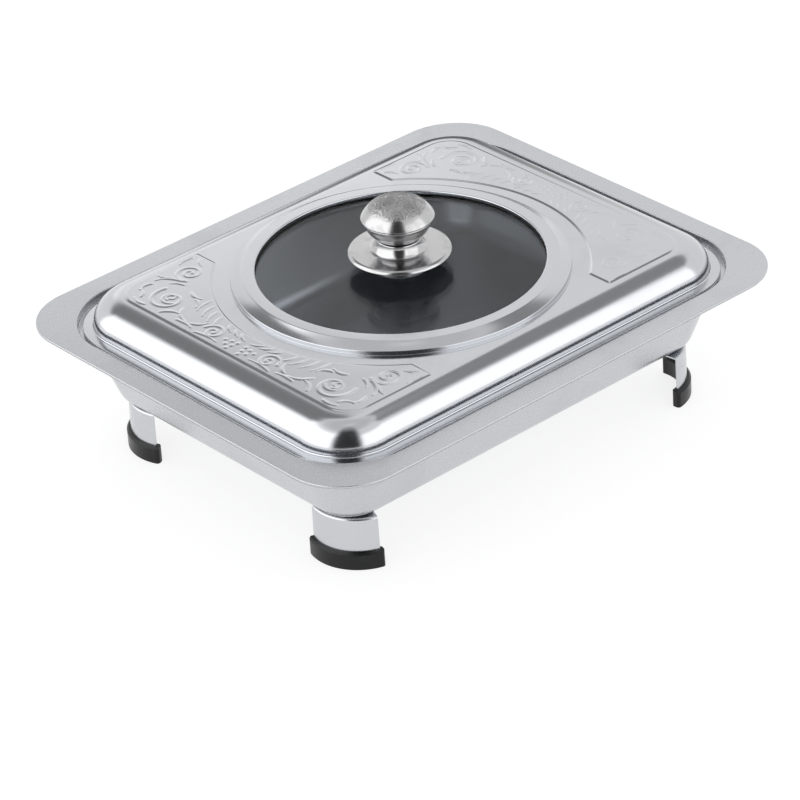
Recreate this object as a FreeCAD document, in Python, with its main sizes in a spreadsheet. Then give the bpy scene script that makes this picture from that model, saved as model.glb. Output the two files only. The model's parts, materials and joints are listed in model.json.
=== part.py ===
import FreeCAD, Part
import math
import os
import types

import Sketcher

# Rectangular chafing dish: a deep stainless pan on four curved legs, and a loose lid with a round
# window and a knob. Millimetres, +Z up, +X along the long side, origin on the table at the middle.

DRIVING = {
    # sheet and clearances
    "sheet": 0.8,
    "seat_gap": 0.3,
    # pan flange, measured from the middle of the dish
    "flange_half_length": 180.0,
    "flange_half_width": 148.75,
    "flange_corner": 38.5,
    "flange_border_length": 13.9,
    "flange_border_width": 15.05,
    "flange_lip": 1.5,
    # sunk ledge that carries the lid
    "recess_depth": 5.3,
    "recess_corner": 49.0,
    "ledge_border_length": 5.3,
    "ledge_border_width": 7.2,
    # well of the pan
    "stand_height": 32.45,
    "pan_depth": 53.55,
    "well_corner": 20.5,
    "well_draft_angle": 21.1,
    "floor_edge_radius": 11.2,
    "floor_border_length": 40.2,
    "floor_border_width": 43.9,
    "floor_field_corner": 28.0,
    "floor_field_rise": 0.8,
    # legs: strips bent to an arc, each welded on with its own small turn
    "leg_inset_length": 30.0,
    "leg_inset_width": 25.2,
    "leg_radius": 29.3,
    "leg_sheet": 0.9,
    "leg_splay": 0.4,
    "leg_arc_angle": 90.0,
    "leg_tab_length": 13.0,
    "leg_bend_radius": 1.6,
    "front_turn_angle": 25.5,
    "left_turn_angle": 22.3,
    "right_turn_angle": 36.4,
    "back_turn_angle": 28.0,
    # foot caps
    "cap_height": 10.6,
    "cap_wall": 2.4,
    "cap_sole": 2.2,
    "cap_arc_angle": 98.6,
    "cap_bevel": 1.1,
    "cap_end_radius": 2.0,
    "cap_slot_gap": 0.1,
    # lid shell
    "lid_gap_length": 4.1,
    "lid_gap_width": 4.9,
    "brim_corner_step": 7.6,
    "brim_width": 6.4,
    "brim_lip": 2.3,
    "dome_height": 16.7,
    "foot_radius": 1.2,
    "shoulder_radius": 15.4,
    # raised end panels of the lid
    "panel_rise": 0.9,
    "panel_margin": 1.1,
    "panel_ring_gap": 10.5,
    "panel_end_setback": 41.9,
    # window ring, glass and what holds it
    "ring_border": 5.9,
    "ring_rise": 7.15,
    "ring_round": 6.75,
    "ring_width": 14.7,
    "ring_fold": 1.85,
    "gasket_lip": 0.8,
    "gasket_web": 0.8,
    "glass_overlap": 5.1,
    "glass_thickness": 4.0,
    "glass_bevel": 0.5,
    "retainer_flange": 5.4,
    "retainer_overlap": 1.7,
    # knob
    "soft_washer": 0.8,
    "knob_foot_radius": 19.5,
    "knob_foot_height": 9.6,
    "knob_sheet": 0.8,
    "skirt_radius": 31.1,
    "skirt_rim_drop": 2.2,
    "skirt_rim_radius": 3.4,
    "neck_foot_radius": 17.0,
    "neck_radius": 13.2,
    "neck_rise": 7.1,
    "neck_curve": 9.0,
    "gap_ring_radius": 12.3,
    "gap_ring_height": 1.2,
    "cup_foot_radius": 14.7,
    "cup_bowl_radius": 20.3,
    "cup_bowl_height": 9.2,
    "cup_bowl_curve": 16.0,
    "cup_bead_height": 2.6,
    "cup_bead_out": 0.9,
    "cap_rim_radius": 21.9,
    "cap_rim_height": 1.0,
    "cap_dome_rise": 13.0,
    "core_radius": 10.0,
    "core_height": 18.5,
    # screw set, M5
    "screw_radius": 2.5,
    "thread_gap": 0.05,
    "insert_radius": 4.0,
    "insert_height": 12.0,
    "bore_radius": 3.0,
    "soft_washer_radius": 12.0,
    "steel_washer_radius": 7.5,
    "steel_washer_height": 1.0,
    "spring_washer_radius": 4.6,
    "spring_washer_height": 1.3,
    "spring_washer_slot": 0.8,
    "screw_head_radius": 4.75,
    "screw_head_height": 3.0,
    "screw_head_round": 1.2,
    "cross_slot_width": 1.1,
    "cross_slot_half_length": 2.6,
    "cross_slot_depth": 1.6,
}

NEAR = 0.001


class Size:
    """A length that carries its value and the formula that ties it to the sheet."""

    def __init__(self, value, formula):
        self.value = value
        self.formula = formula

    def joined(self, other, value, sign, swapped=False):
        first, second = formula_of(self), formula_of(other)
        if swapped:
            first, second = second, first
        return Size(value, "(" + first + " " + sign + " " + second + ")")

    def __add__(self, other):
        return self.joined(other, self.value + value_of(other), "+")

    def __radd__(self, other):
        return self + other

    def __sub__(self, other):
        return self.joined(other, self.value - value_of(other), "-")

    def __rsub__(self, other):
        return self.joined(other, value_of(other) - self.value, "-", swapped=True)

    def __mul__(self, other):
        return self.joined(other, self.value * value_of(other), "*")

    def __rmul__(self, other):
        return self * other

    def __truediv__(self, other):
        return self.joined(other, self.value / value_of(other), "/")

    def __neg__(self):
        return 0 - self

    def root(self):
        return Size(math.sqrt(self.value), "sqrt(" + self.formula + ")")

    def tan(self):
        return Size(math.tan(math.radians(self.value)), "tan(" + self.formula + ")")


def value_of(size):
    return size.value if isinstance(size, Size) else float(size)


def formula_of(size):
    return size.formula if isinstance(size, Size) else repr(float(size))


doc = FreeCAD.newDocument("chafing_dish")
sheet = doc.addObject("Spreadsheet::Sheet", "Sizes")
for row, (name, number) in enumerate(DRIVING.items(), start=1):
    sheet.set("A" + str(row), name)
    sheet.set("B" + str(row), str(number))
    sheet.setAlias("B" + str(row), name)
doc.recompute()
S = types.SimpleNamespace(**{name: Size(number, "Sizes." + name) for name, number in DRIVING.items()})

# Heights and outlines that several pieces share
flange_top = S.stand_height + S.pan_depth
recess_x = S.flange_half_length - S.flange_border_length
recess_y = S.flange_half_width - S.flange_border_width
ledge_top = flange_top - S.recess_depth
mouth_x = recess_x - S.ledge_border_length
mouth_y = recess_y - S.ledge_border_width
well_depth = ledge_top - S.stand_height
well_spread = S.well_draft_angle.tan() * well_depth
floor_x = mouth_x - well_spread
floor_y = mouth_y - well_spread
field_x = floor_x - S.floor_border_length
field_y = floor_y - S.floor_border_width

brim_x = recess_x - S.lid_gap_length
brim_y = recess_y - S.lid_gap_width
lip_bottom = ledge_top + S.seat_gap
brim_top = lip_bottom + S.brim_lip
lid_top = brim_top + S.dome_height
wall_x = brim_x - S.brim_width
wall_y = brim_y - S.brim_width
brim_corner = S.recess_corner - S.brim_corner_step
wall_corner = brim_corner - S.brim_width
flat_x = wall_x - S.shoulder_radius
flat_y = wall_y - S.shoulder_radius

ring_radius = flat_y - S.ring_border
ring_opening = ring_radius - S.ring_width
glass_radius = ring_opening + S.glass_overlap
ring_top = lid_top + S.ring_rise
glass_top = ring_top - S.ring_fold - S.gasket_lip
glass_bottom = glass_top - S.glass_thickness
gasket_bottom = glass_bottom - S.gasket_lip

foot_bottom = glass_top + S.soft_washer
skirt_bottom = foot_bottom + S.knob_foot_height
skirt_top = skirt_bottom + S.knob_sheet
neck_top = skirt_top + S.neck_rise
cup_bottom = neck_top + S.gap_ring_height
bead_bottom = cup_bottom + S.cup_bowl_height
bead_top = bead_bottom + S.cup_bead_height
dome_foot = bead_top + S.cap_rim_height
dome_top = dome_foot + S.cap_dome_rise


# Sketch helpers

def new_body(label):
    body = doc.addObject("PartDesign::Body", label)
    body.Label = label
    return body


def arc_edge(start, end, radius, side):
    """Arc under a half circle from start to end; side is +1 when it turns left on the way."""
    chord = end - start
    half = chord.Length / 2
    reach = math.sqrt(max(radius * radius - half * half, 0.0))
    left = FreeCAD.Vector(-chord.y, chord.x, 0).normalize()
    centre = (start + end) / 2 + left * (reach * side)
    first, last = (start, end) if side > 0 else (end, start)
    angle_first = math.atan2(first.y - centre.y, first.x - centre.x)
    angle_last = math.atan2(last.y - centre.y, last.x - centre.x)
    circle = Part.Circle(centre, FreeCAD.Vector(0, 0, 1), radius)
    return Part.ArcOfCircle(circle, angle_first, angle_last)


def fix(sketch, kind, first, second, size):
    """Adds a dimension and ties it to the sheet's sizes."""
    index = sketch.addConstraint(Sketcher.Constraint(kind, *first, *second, value_of(size)))
    if isinstance(size, Size):
        sketch.setExpression("Constraints[" + str(index) + "]", size.formula)


def pin_point(sketch, edge, x, y):
    """Holds a point at x, y; a zero lays it on the sketch's own axis."""
    for kind, axis, size in (("DistanceX", -2, x), ("DistanceY", -1, y)):
        if isinstance(size, Size):
            fix(sketch, kind, (-1, 1), edge, size)
        else:
            sketch.addConstraint(Sketcher.Constraint("PointOnObject", *edge, axis))


def draw_loop(sketch, steps):
    """Closed outline. A step is (x, y) for a line to that point, or (x, y, radius, side) for an arc."""
    ends = []
    for before, step in zip([steps[-1]] + steps[:-1], steps):
        start = FreeCAD.Vector(value_of(before[0]), value_of(before[1]), 0)
        end = FreeCAD.Vector(value_of(step[0]), value_of(step[1]), 0)
        if len(step) == 2:
            edge = sketch.addGeometry(Part.LineSegment(start, end), False)
            ends.append(((edge, 1), (edge, 2)))
            continue
        radius, side = step[2], step[3]
        edge = sketch.addGeometry(arc_edge(start, end, value_of(radius), side), False)
        ends.append(((edge, 1), (edge, 2)) if side > 0 else ((edge, 2), (edge, 1)))
    for (_, end), (start, _) in zip(ends, ends[1:] + ends[:1]):
        sketch.addConstraint(Sketcher.Constraint("Coincident", *end, *start))
    for (_, end), step in zip(ends, steps):
        pin_point(sketch, end, step[0], step[1])
    for (start, _), step in zip(ends, steps):
        if len(step) == 4:
            radius = step[2]
            index = sketch.addConstraint(Sketcher.Constraint("Radius", start[0], value_of(radius)))
            sketch.setExpression("Constraints[" + str(index) + "]", radius.formula)


def sketch_on(body, name, role, height, *loops):
    """Sketch on one of the body's own origin planes, raised by height along its normal."""
    sketch = body.newObject("Sketcher::SketchObject", name)
    plane = [item for item in body.Origin.OriginFeatures if item.Role == role][0]
    sketch.AttachmentSupport = [(plane, "")]
    sketch.MapMode = "FlatFace"
    if isinstance(height, Size):
        sketch.AttachmentOffset = FreeCAD.Placement(FreeCAD.Vector(0, 0, height.value), FreeCAD.Rotation())
        sketch.setExpression("AttachmentOffset.Base.z", height.formula)
    for loop in loops:
        draw_loop(sketch, loop)
    return sketch


def rounded_rectangle(half_x, half_y, corner):
    inner_x, inner_y = half_x - corner, half_y - corner
    return [
        (-inner_x, -half_y, corner, 1),
        (inner_x, -half_y),
        (half_x, -inner_y, corner, 1),
        (half_x, inner_y),
        (inner_x, half_y, corner, 1),
        (-inner_x, half_y),
        (-half_x, inner_y, corner, 1),
        (-half_x, -inner_y),
    ]


def rectangle(low_x, low_y, high_x, high_y):
    return [(low_x, low_y), (high_x, low_y), (high_x, high_y), (low_x, high_y)]


# Feature helpers

def pad(body, sketch, length, draft=None):
    """Pad upwards from the sketch; a draft angle spreads the walls on the way."""
    feature = body.newObject("PartDesign::Pad", sketch.Name + "_pad")
    feature.Profile = sketch
    feature.Length = length.value
    feature.setExpression("Length", length.formula)
    if draft is not None:
        feature.TaperAngle = draft.value
        feature.setExpression("TaperAngle", draft.formula)
    return feature


def pocket(body, sketch, depth, up=False):
    feature = body.newObject("PartDesign::Pocket", sketch.Name + "_pocket")
    feature.Profile = sketch
    feature.Length = depth.value
    feature.setExpression("Length", depth.formula)
    feature.Reversed = up
    return feature


def hollow_out(body, base, height):
    """Turns the solid into a shell one sheet thick, open at its flat face at a height."""
    doc.recompute()
    names = []
    for index, face in enumerate(base.Shape.Faces, start=1):
        box = face.BoundBox
        if abs(box.ZMin - height.value) < NEAR and abs(box.ZMax - height.value) < NEAR:
            names.append("Face" + str(index))
    feature = body.newObject("PartDesign::Thickness", base.Name + "_shell")
    feature.Base = (base, names)
    feature.Value = S.sheet.value
    feature.setExpression("Value", S.sheet.formula)
    feature.Reversed = True
    feature.Join = 1
    return feature


def turn(body, kind, sketch, angle=None):
    """Revolution or Groove about the sketch's upright axis; a part turn is laid evenly on both sides."""
    feature = body.newObject("PartDesign::" + kind, sketch.Name + "_turn")
    feature.Profile = sketch
    feature.ReferenceAxis = (sketch, ["V_Axis"])
    feature.Angle = 360
    if angle is not None:
        feature.Angle = angle.value
        feature.setExpression("Angle", angle.formula)
        feature.Midplane = True
    return feature


def edges_at(shape, height, outline=None):
    """Names of the edges that lie flat at a height, only those on an outline of half sizes if given."""
    names = []
    for index, edge in enumerate(shape.Edges, start=1):
        box = edge.BoundBox
        level = abs(box.ZMin - height) < NEAR and abs(box.ZMax - height) < NEAR
        reach_x = max(abs(box.XMin), abs(box.XMax))
        reach_y = max(abs(box.YMin), abs(box.YMax))
        if outline is None:
            on_outline = True
        else:
            on_outline = abs(reach_x - outline[0].value) < NEAR or abs(reach_y - outline[1].value) < NEAR
        if level and on_outline:
            names.append("Edge" + str(index))
    return names


def fillet(body, base, names, radius):
    feature = body.newObject("PartDesign::Fillet", base.Name + "_fillet")
    feature.Base = (base, names)
    feature.Radius = radius.value
    feature.setExpression("Radius", radius.formula)
    return feature


def round_level(body, base, height, radius, outline=None):
    doc.recompute()
    return fillet(body, base, edges_at(base.Shape, height.value, outline), radius)


def turned_piece(label, loop, angle=None):
    body = new_body(label)
    turn(body, "Revolution", sketch_on(body, label + "_profile", "XZ_Plane", 0, loop), angle)
    return body


# Pan

def ring_pad(body, name, bottom, top, outside, inside):
    """Upright wall or flat ring between two rounded rectangles, each (half x, half y, corner)."""
    loops = (rounded_rectangle(*outside), rounded_rectangle(*inside))
    return pad(body, sketch_on(body, name, "XY_Plane", bottom, *loops), top - bottom)


def grown(outline, margin):
    """Rounded rectangle moved out by a margin all round."""
    return tuple(size + margin for size in outline)


def well_form(label, bottom, edge_radius, inset, field_inset):
    """Solid with the well's shape, from its floor up to the ledge, and a raised field in the floor."""
    body = new_body(label)
    rise = bottom - S.stand_height
    spread = S.well_draft_angle.tan() * rise - inset
    floor = rounded_rectangle(floor_x + spread, floor_y + spread, S.well_corner + spread)
    form = pad(body, sketch_on(body, label + "_floor", "XY_Plane", bottom, floor), ledge_top - bottom,
               S.well_draft_angle)
    form = round_level(body, form, bottom, edge_radius)
    raised = (field_x, field_y, S.floor_field_corner)
    field = rounded_rectangle(*grown(raised, -field_inset))
    pocket(body, sketch_on(body, label + "_field", "XY_Plane", bottom, field), S.floor_field_rise, up=True)
    return body


def make_pan():
    none = S.sheet * 0
    body = well_form("outer_pan", S.stand_height, S.floor_edge_radius, none, S.sheet)
    hollow = well_form("pan_hollow", S.stand_height + S.sheet, S.floor_edge_radius - S.sheet, S.sheet, none)
    cut = body.newObject("PartDesign::Boolean", "hollow_cut")
    cut.setObjects([hollow])
    cut.Type = "Cut"
    mouth = (mouth_x, mouth_y, S.well_corner + well_spread)
    recess = (recess_x, recess_y, S.recess_corner)
    flange = (S.flange_half_length, S.flange_half_width, S.flange_corner)
    ledge_bottom = ledge_top - S.sheet
    ring_pad(body, "ledge", ledge_bottom, ledge_top, grown(recess, S.sheet), grown(mouth, -S.sheet / 2))
    ring_pad(body, "recess_wall", ledge_bottom, flange_top, grown(recess, S.sheet), recess)
    ring_pad(body, "flange", flange_top - S.sheet, flange_top, flange, recess)
    lip = ring_pad(body, "flange_lip", flange_top - S.flange_lip, flange_top, flange, grown(flange, -S.sheet))
    round_level(body, lip, flange_top, S.sheet / 2, flange)
    return body


# Legs and foot caps: each is turned about its own arc centre, which sits inside a corner of the floor

CORNERS = {
    "front": (-1, -1, S.front_turn_angle),
    "left": (-1, 1, S.left_turn_angle),
    "right": (1, -1, S.right_turn_angle),
    "back": (1, 1, S.back_turn_angle),
}


def place_at_corner(body, corner):
    side_x, side_y, own_turn = CORNERS[corner]
    centre_x = side_x * (floor_x - S.leg_inset_length)
    centre_y = side_y * (floor_y - S.leg_inset_width)
    base_turn = 0 if side_x > 0 else 180
    heading = base_turn + side_x * side_y * own_turn
    body.Placement = FreeCAD.Placement(
        FreeCAD.Vector(centre_x.value, centre_y.value, 0),
        FreeCAD.Rotation(FreeCAD.Vector(0, 0, 1), heading.value),
    )
    body.setExpression("Placement.Base.x", centre_x.formula)
    body.setExpression("Placement.Base.y", centre_y.formula)
    body.setExpression("Placement.Rotation.Angle", heading.formula)


def make_leg(corner):
    top_radius = S.leg_radius - S.leg_splay
    profile = [
        (S.leg_radius - S.leg_sheet, S.cap_sole),
        (S.leg_radius, S.cap_sole),
        (top_radius, S.stand_height),
        (S.leg_tab_length, S.stand_height),
        (S.leg_tab_length, S.stand_height - S.leg_sheet),
        (top_radius - S.leg_sheet, S.stand_height - S.leg_sheet),
    ]
    body = turned_piece("leg_" + corner, profile, S.leg_arc_angle)
    strip = body.Tip
    doc.recompute()
    outer = [name for name in edges_at(strip.Shape, S.stand_height.value)
             if strip.Shape.getElement(name).Length > top_radius.value]
    fillet(body, strip, outer, S.leg_bend_radius)
    place_at_corner(body, corner)
    return body


def make_foot_cap(corner):
    outer = S.leg_radius + S.cap_wall
    inner = S.leg_radius - S.leg_sheet - S.cap_wall
    profile = [
        (inner, S.cap_height * 0),
        (outer, S.cap_height * 0),
        (outer, S.cap_height - S.cap_bevel),
        (outer - S.cap_bevel, S.cap_height),
        (inner, S.cap_height),
    ]
    body = turned_piece("foot_cap_" + corner, profile, S.cap_arc_angle)
    solid = body.Tip
    doc.recompute()
    upright = []
    for index, edge in enumerate(solid.Shape.Edges, start=1):
        box = edge.BoundBox
        if box.ZLength > S.cap_bevel.value * 2 and box.XLength < NEAR:
            upright.append("Edge" + str(index))
    fillet(body, solid, upright, S.cap_end_radius)
    slope = S.leg_splay / (S.stand_height - S.cap_sole)
    drift = slope * (S.cap_height - S.cap_sole)
    slot_profile = [
        (S.leg_radius - S.leg_sheet - S.cap_slot_gap, S.cap_sole),
        (S.leg_radius + S.cap_slot_gap, S.cap_sole),
        (S.leg_radius + S.cap_slot_gap - drift, S.cap_height),
        (S.leg_radius - S.leg_sheet - S.cap_slot_gap - drift, S.cap_height),
    ]
    slot = sketch_on(body, "foot_slot_" + corner, "XZ_Plane", 0, slot_profile)
    turn(body, "Groove", slot, S.leg_arc_angle + S.cap_slot_gap * 4)
    place_at_corner(body, corner)
    return body


# Lid

def end_panel():
    """End panel on the +X side: round the window inside, along the shoulder outside."""
    far_x = flat_x - S.panel_margin
    far_y = flat_y - S.panel_margin
    corner = wall_corner - S.shoulder_radius - S.panel_margin
    arc_radius = ring_radius + S.panel_ring_gap
    end_x = arc_radius - S.panel_end_setback
    arc_y = (arc_radius * arc_radius - end_x * end_x).root()
    return [
        (end_x, -arc_y, arc_radius, -1),
        (end_x, -far_y),
        (far_x - corner, -far_y),
        (far_x, corner - far_y, corner, 1),
        (far_x, far_y - corner),
        (far_x - corner, far_y, corner, 1),
        (end_x, far_y),
        (end_x, arc_y),
    ]


def mirrored(body, feature):
    copy = body.newObject("PartDesign::Mirrored", feature.Name + "_mirrored")
    copy.Originals = [feature]
    plane = [item for item in body.Origin.OriginFeatures if item.Role == "YZ_Plane"][0]
    copy.MirrorPlane = (plane, [""])
    body.Tip = copy
    return copy


def make_lid_shell():
    body = new_body("lid_shell")
    wall = (wall_x, wall_y, wall_corner)
    brim = (brim_x, brim_y, brim_corner)
    dome_bottom = brim_top - S.sheet
    outline = sketch_on(body, "dome", "XY_Plane", dome_bottom, rounded_rectangle(*wall))
    dome = round_level(body, pad(body, outline, lid_top - dome_bottom), lid_top, S.shoulder_radius)
    panel = pad(body, sketch_on(body, "end_panel", "XY_Plane", lid_top, end_panel()), S.panel_rise)
    dome = mirrored(body, panel)
    hollow_out(body, dome, dome_bottom)
    ring_pad(body, "brim", dome_bottom, brim_top, brim, grown(wall, -S.sheet))
    lip = ring_pad(body, "brim_lip", lip_bottom, brim_top, brim, grown(brim, -S.sheet))
    lip = round_level(body, lip, brim_top, S.sheet / 2, brim)
    round_level(body, lip, brim_top, S.foot_radius, wall)
    hole_radius = ring_radius - S.sheet
    hole = sketch_on(body, "window_hole", "XZ_Plane", 0,
                     rectangle(0, lid_top - S.sheet * 2, hole_radius, lid_top + S.sheet))
    turn(body, "Groove", hole)
    round_foot = ring_top - S.ring_round
    round_start = ring_radius - S.ring_round
    fold_bottom = ring_top - S.ring_fold
    ring_profile = [
        (hole_radius, lid_top - S.sheet),
        (ring_radius, lid_top - S.sheet),
        (ring_radius, round_foot),
        (round_start, ring_top, S.ring_round, 1),
        (ring_opening + S.sheet, ring_top),
        (ring_opening, ring_top - S.sheet, S.sheet, 1),
        (ring_opening, fold_bottom),
        (ring_opening + S.sheet, fold_bottom),
        (ring_opening + S.sheet, ring_top - S.sheet),
        (round_start, ring_top - S.sheet),
        (hole_radius, round_foot, S.ring_round - S.sheet, -1),
    ]
    turn(body, "Revolution", sketch_on(body, "window_ring", "XZ_Plane", 0, ring_profile))
    return body


def make_window():
    bevel = S.glass_bevel
    glass = [
        (S.bore_radius, glass_bottom),
        (glass_radius - bevel, glass_bottom),
        (glass_radius, glass_bottom + bevel),
        (glass_radius, glass_top - bevel),
        (glass_radius - bevel, glass_top),
        (S.bore_radius, glass_top),
    ]
    web = glass_radius + S.gasket_web
    gasket = [
        (ring_opening, gasket_bottom),
        (web, gasket_bottom),
        (web, glass_top + S.gasket_lip),
        (ring_opening, glass_top + S.gasket_lip),
        (ring_opening, glass_top),
        (glass_radius, glass_top),
        (glass_radius, glass_bottom),
        (ring_opening, glass_bottom),
    ]
    weld_bottom = lid_top - S.sheet * 2
    step_in = ring_radius - S.sheet - S.retainer_overlap
    retainer = [
        (ring_opening, gasket_bottom - S.sheet),
        (step_in, gasket_bottom - S.sheet),
        (step_in, weld_bottom),
        (ring_radius + S.retainer_flange, weld_bottom),
        (ring_radius + S.retainer_flange, lid_top - S.sheet),
        (step_in + S.sheet, lid_top - S.sheet),
        (step_in + S.sheet, gasket_bottom),
        (ring_opening, gasket_bottom),
    ]
    return [
        turned_piece("window_glass", glass),
        turned_piece("window_gasket", gasket),
        turned_piece("window_retainer", retainer),
    ]


# Knob, from the glass up

def make_knob():
    wall = S.knob_sheet
    bore = S.bore_radius
    foot_inner = S.knob_foot_radius - wall
    foot = [
        (foot_inner, foot_bottom),
        (S.knob_foot_radius, foot_bottom),
        (S.knob_foot_radius, skirt_bottom),
        (bore, skirt_bottom),
        (bore, skirt_bottom - wall),
        (foot_inner, skirt_bottom - wall),
    ]
    rim_bottom = skirt_top - S.skirt_rim_drop
    rim_start = S.skirt_radius - S.skirt_rim_drop
    skirt = [
        (S.neck_foot_radius - wall, skirt_bottom, S.neck_curve + wall, 1),
        (rim_start, skirt_bottom),
        (S.skirt_radius - wall, rim_bottom, S.skirt_rim_radius - wall, -1),
        (S.skirt_radius, rim_bottom),
        (rim_start, skirt_top, S.skirt_rim_radius, 1),
        (S.neck_foot_radius, skirt_top),
        (S.neck_radius, neck_top, S.neck_curve, -1),
        (bore, neck_top),
        (bore, neck_top - wall),
        (S.neck_radius - wall, neck_top - wall),
    ]
    gap_ring = rectangle(bore, neck_top, S.gap_ring_radius, cup_bottom)
    bowl = S.cup_bowl_radius
    bead = bowl + S.cup_bead_out
    cup = [
        (bore, cup_bottom),
        (S.cup_foot_radius, cup_bottom),
        (bowl, bead_bottom, S.cup_bowl_curve, 1),
        (bead, bead_bottom + S.cup_bead_out),
        (bead, bead_top),
        (bead - wall, bead_top),
        (bead - wall, bead_bottom + S.cup_bead_out),
        (bowl - wall, bead_bottom),
        (S.cup_foot_radius - wall, cup_bottom + wall, S.cup_bowl_curve - wall, -1),
        (bore, cup_bottom + wall),
    ]
    rim = S.cap_rim_radius
    dome_curve = (rim * rim + S.cap_dome_rise * S.cap_dome_rise) / (S.cap_dome_rise * 2)
    inner_curve = dome_curve - wall
    inner_rim = rim - wall
    inner_foot = dome_top - dome_curve + (inner_curve * inner_curve - inner_rim * inner_rim).root()
    cap = [
        (rim, bead_top),
        (rim, dome_foot),
        (0, dome_top, dome_curve, 1),
        (0, dome_top - wall),
        (inner_rim, inner_foot, inner_curve, -1),
        (inner_rim, bead_top),
    ]
    core_top = cup_bottom + wall + S.core_height
    insert_bottom = cup_bottom + wall
    insert_top = insert_bottom + S.insert_height
    thread = S.screw_radius + S.thread_gap
    core = [
        (S.insert_radius, insert_bottom),
        (S.core_radius, insert_bottom),
        (S.core_radius, core_top),
        (0, core_top),
        (0, insert_top),
        (S.insert_radius, insert_top),
    ]
    return [
        turned_piece("knob_seal", rectangle(bore, glass_top, S.knob_foot_radius - wall, foot_bottom)),
        turned_piece("knob_foot", foot),
        turned_piece("knob_skirt", skirt),
        turned_piece("knob_gap_ring", gap_ring),
        turned_piece("knob_cup", cup),
        turned_piece("knob_cap", cap),
        turned_piece("knob_core", core),
        turned_piece("knob_insert", rectangle(thread, insert_bottom, S.insert_radius, insert_top)),
    ]


def make_screw_set():
    soft_bottom = glass_bottom - S.soft_washer
    steel_bottom = soft_bottom - S.steel_washer_height
    spring_bottom = steel_bottom - S.spring_washer_height
    head_bottom = spring_bottom - S.screw_head_height
    hole = S.bore_radius
    soft = turned_piece("glass_washer", rectangle(hole, soft_bottom, S.soft_washer_radius, glass_bottom))
    steel = turned_piece("screw_washer", rectangle(hole, steel_bottom, S.steel_washer_radius, soft_bottom))
    spring_section = rectangle(hole, spring_bottom, S.spring_washer_radius, steel_bottom)
    spring = turned_piece("spring_washer", spring_section)
    slot = rectangle(0, -S.spring_washer_slot / 2, S.spring_washer_radius * 2, S.spring_washer_slot / 2)
    pocket(spring, sketch_on(spring, "washer_split", "XY_Plane", spring_bottom, slot),
           S.spring_washer_height, up=True)
    shank_top = cup_bottom + S.knob_sheet + S.insert_height - S.soft_washer
    screw = turned_piece("knob_screw", [
        (0, head_bottom),
        (S.screw_head_radius - S.screw_head_round, head_bottom),
        (S.screw_head_radius, head_bottom + S.screw_head_round, S.screw_head_round, 1),
        (S.screw_head_radius, spring_bottom),
        (S.screw_radius, spring_bottom),
        (S.screw_radius, shank_top),
        (0, shank_top),
    ])
    wide, long = S.cross_slot_width / 2, S.cross_slot_half_length
    for name, half_x, half_y in (("cross_slot_x", long, wide), ("cross_slot_y", wide, long)):
        slot = rectangle(-half_x, -half_y, half_x, half_y)
        pocket(screw, sketch_on(screw, name, "XY_Plane", head_bottom, slot), S.cross_slot_depth, up=True)
    return [soft, steel, spring, screw]


pieces = [make_pan()]
pieces += [make_leg(corner) for corner in CORNERS]
pieces += [make_foot_cap(corner) for corner in CORNERS]
pieces += [make_lid_shell()]
pieces += make_window()
pieces += make_knob()
pieces += make_screw_set()
doc.recompute()

faults = [item.Name for item in doc.Objects if "Invalid" in item.State or "Error" in item.State]
if faults:
    raise RuntimeError("objects that failed: " + ", ".join(faults))
for piece in pieces:
    shape = piece.Shape
    if shape.isNull() or not shape.isValid() or len(shape.Solids) != 1:
        raise RuntimeError("no sound solid: " + piece.Label)

os.makedirs("parts", exist_ok=True)
for piece in pieces:
    piece.Shape.exportStep("parts/" + piece.Label + ".step")
    box = piece.Shape.BoundBox
    print(piece.Label, round(piece.Shape.Volume, 1), "mm3, z", round(box.ZMin, 2), "to", round(box.ZMax, 2))
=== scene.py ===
# %% [markdown]
# # A chafing dish, dressed for its photograph
#
# The CAD model already holds every solid of this dish at its real size. This lesson loads it as a fixed
# frame, gives each piece a finish, and remakes the pressed sheets and the turned knob as smooth skins,
# because polished steel shows every facet of a coarse mesh.

# %% Load the frame
import math

import bmesh
import bpy
import json
import numpy as np
from mathutils import Matrix, Vector
from mathutils.geometry import delaunay_2d_cdt


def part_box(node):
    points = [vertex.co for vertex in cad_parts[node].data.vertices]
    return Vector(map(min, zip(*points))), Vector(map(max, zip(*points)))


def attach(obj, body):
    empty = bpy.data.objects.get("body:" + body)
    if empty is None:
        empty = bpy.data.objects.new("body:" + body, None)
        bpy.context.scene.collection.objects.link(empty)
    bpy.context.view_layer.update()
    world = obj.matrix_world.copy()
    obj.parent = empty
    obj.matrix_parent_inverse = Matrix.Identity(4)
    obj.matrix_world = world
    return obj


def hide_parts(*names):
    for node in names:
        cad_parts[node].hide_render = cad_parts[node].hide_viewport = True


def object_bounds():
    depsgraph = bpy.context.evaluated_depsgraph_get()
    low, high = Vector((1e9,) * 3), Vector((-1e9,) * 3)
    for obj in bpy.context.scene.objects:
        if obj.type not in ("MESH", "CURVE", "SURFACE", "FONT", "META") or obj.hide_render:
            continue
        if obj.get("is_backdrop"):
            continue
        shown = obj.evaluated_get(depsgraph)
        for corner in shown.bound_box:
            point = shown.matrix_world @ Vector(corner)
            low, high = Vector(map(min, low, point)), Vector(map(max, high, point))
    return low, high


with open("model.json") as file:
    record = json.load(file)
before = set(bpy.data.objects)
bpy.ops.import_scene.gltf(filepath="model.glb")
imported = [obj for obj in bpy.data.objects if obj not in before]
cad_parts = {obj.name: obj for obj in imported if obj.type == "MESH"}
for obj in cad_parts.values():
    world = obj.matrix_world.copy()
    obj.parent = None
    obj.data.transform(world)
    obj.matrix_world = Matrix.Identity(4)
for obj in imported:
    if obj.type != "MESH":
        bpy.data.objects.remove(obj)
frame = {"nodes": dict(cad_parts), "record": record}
cad_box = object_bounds()
print("pieces in the frame:", len(frame["nodes"]))

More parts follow.
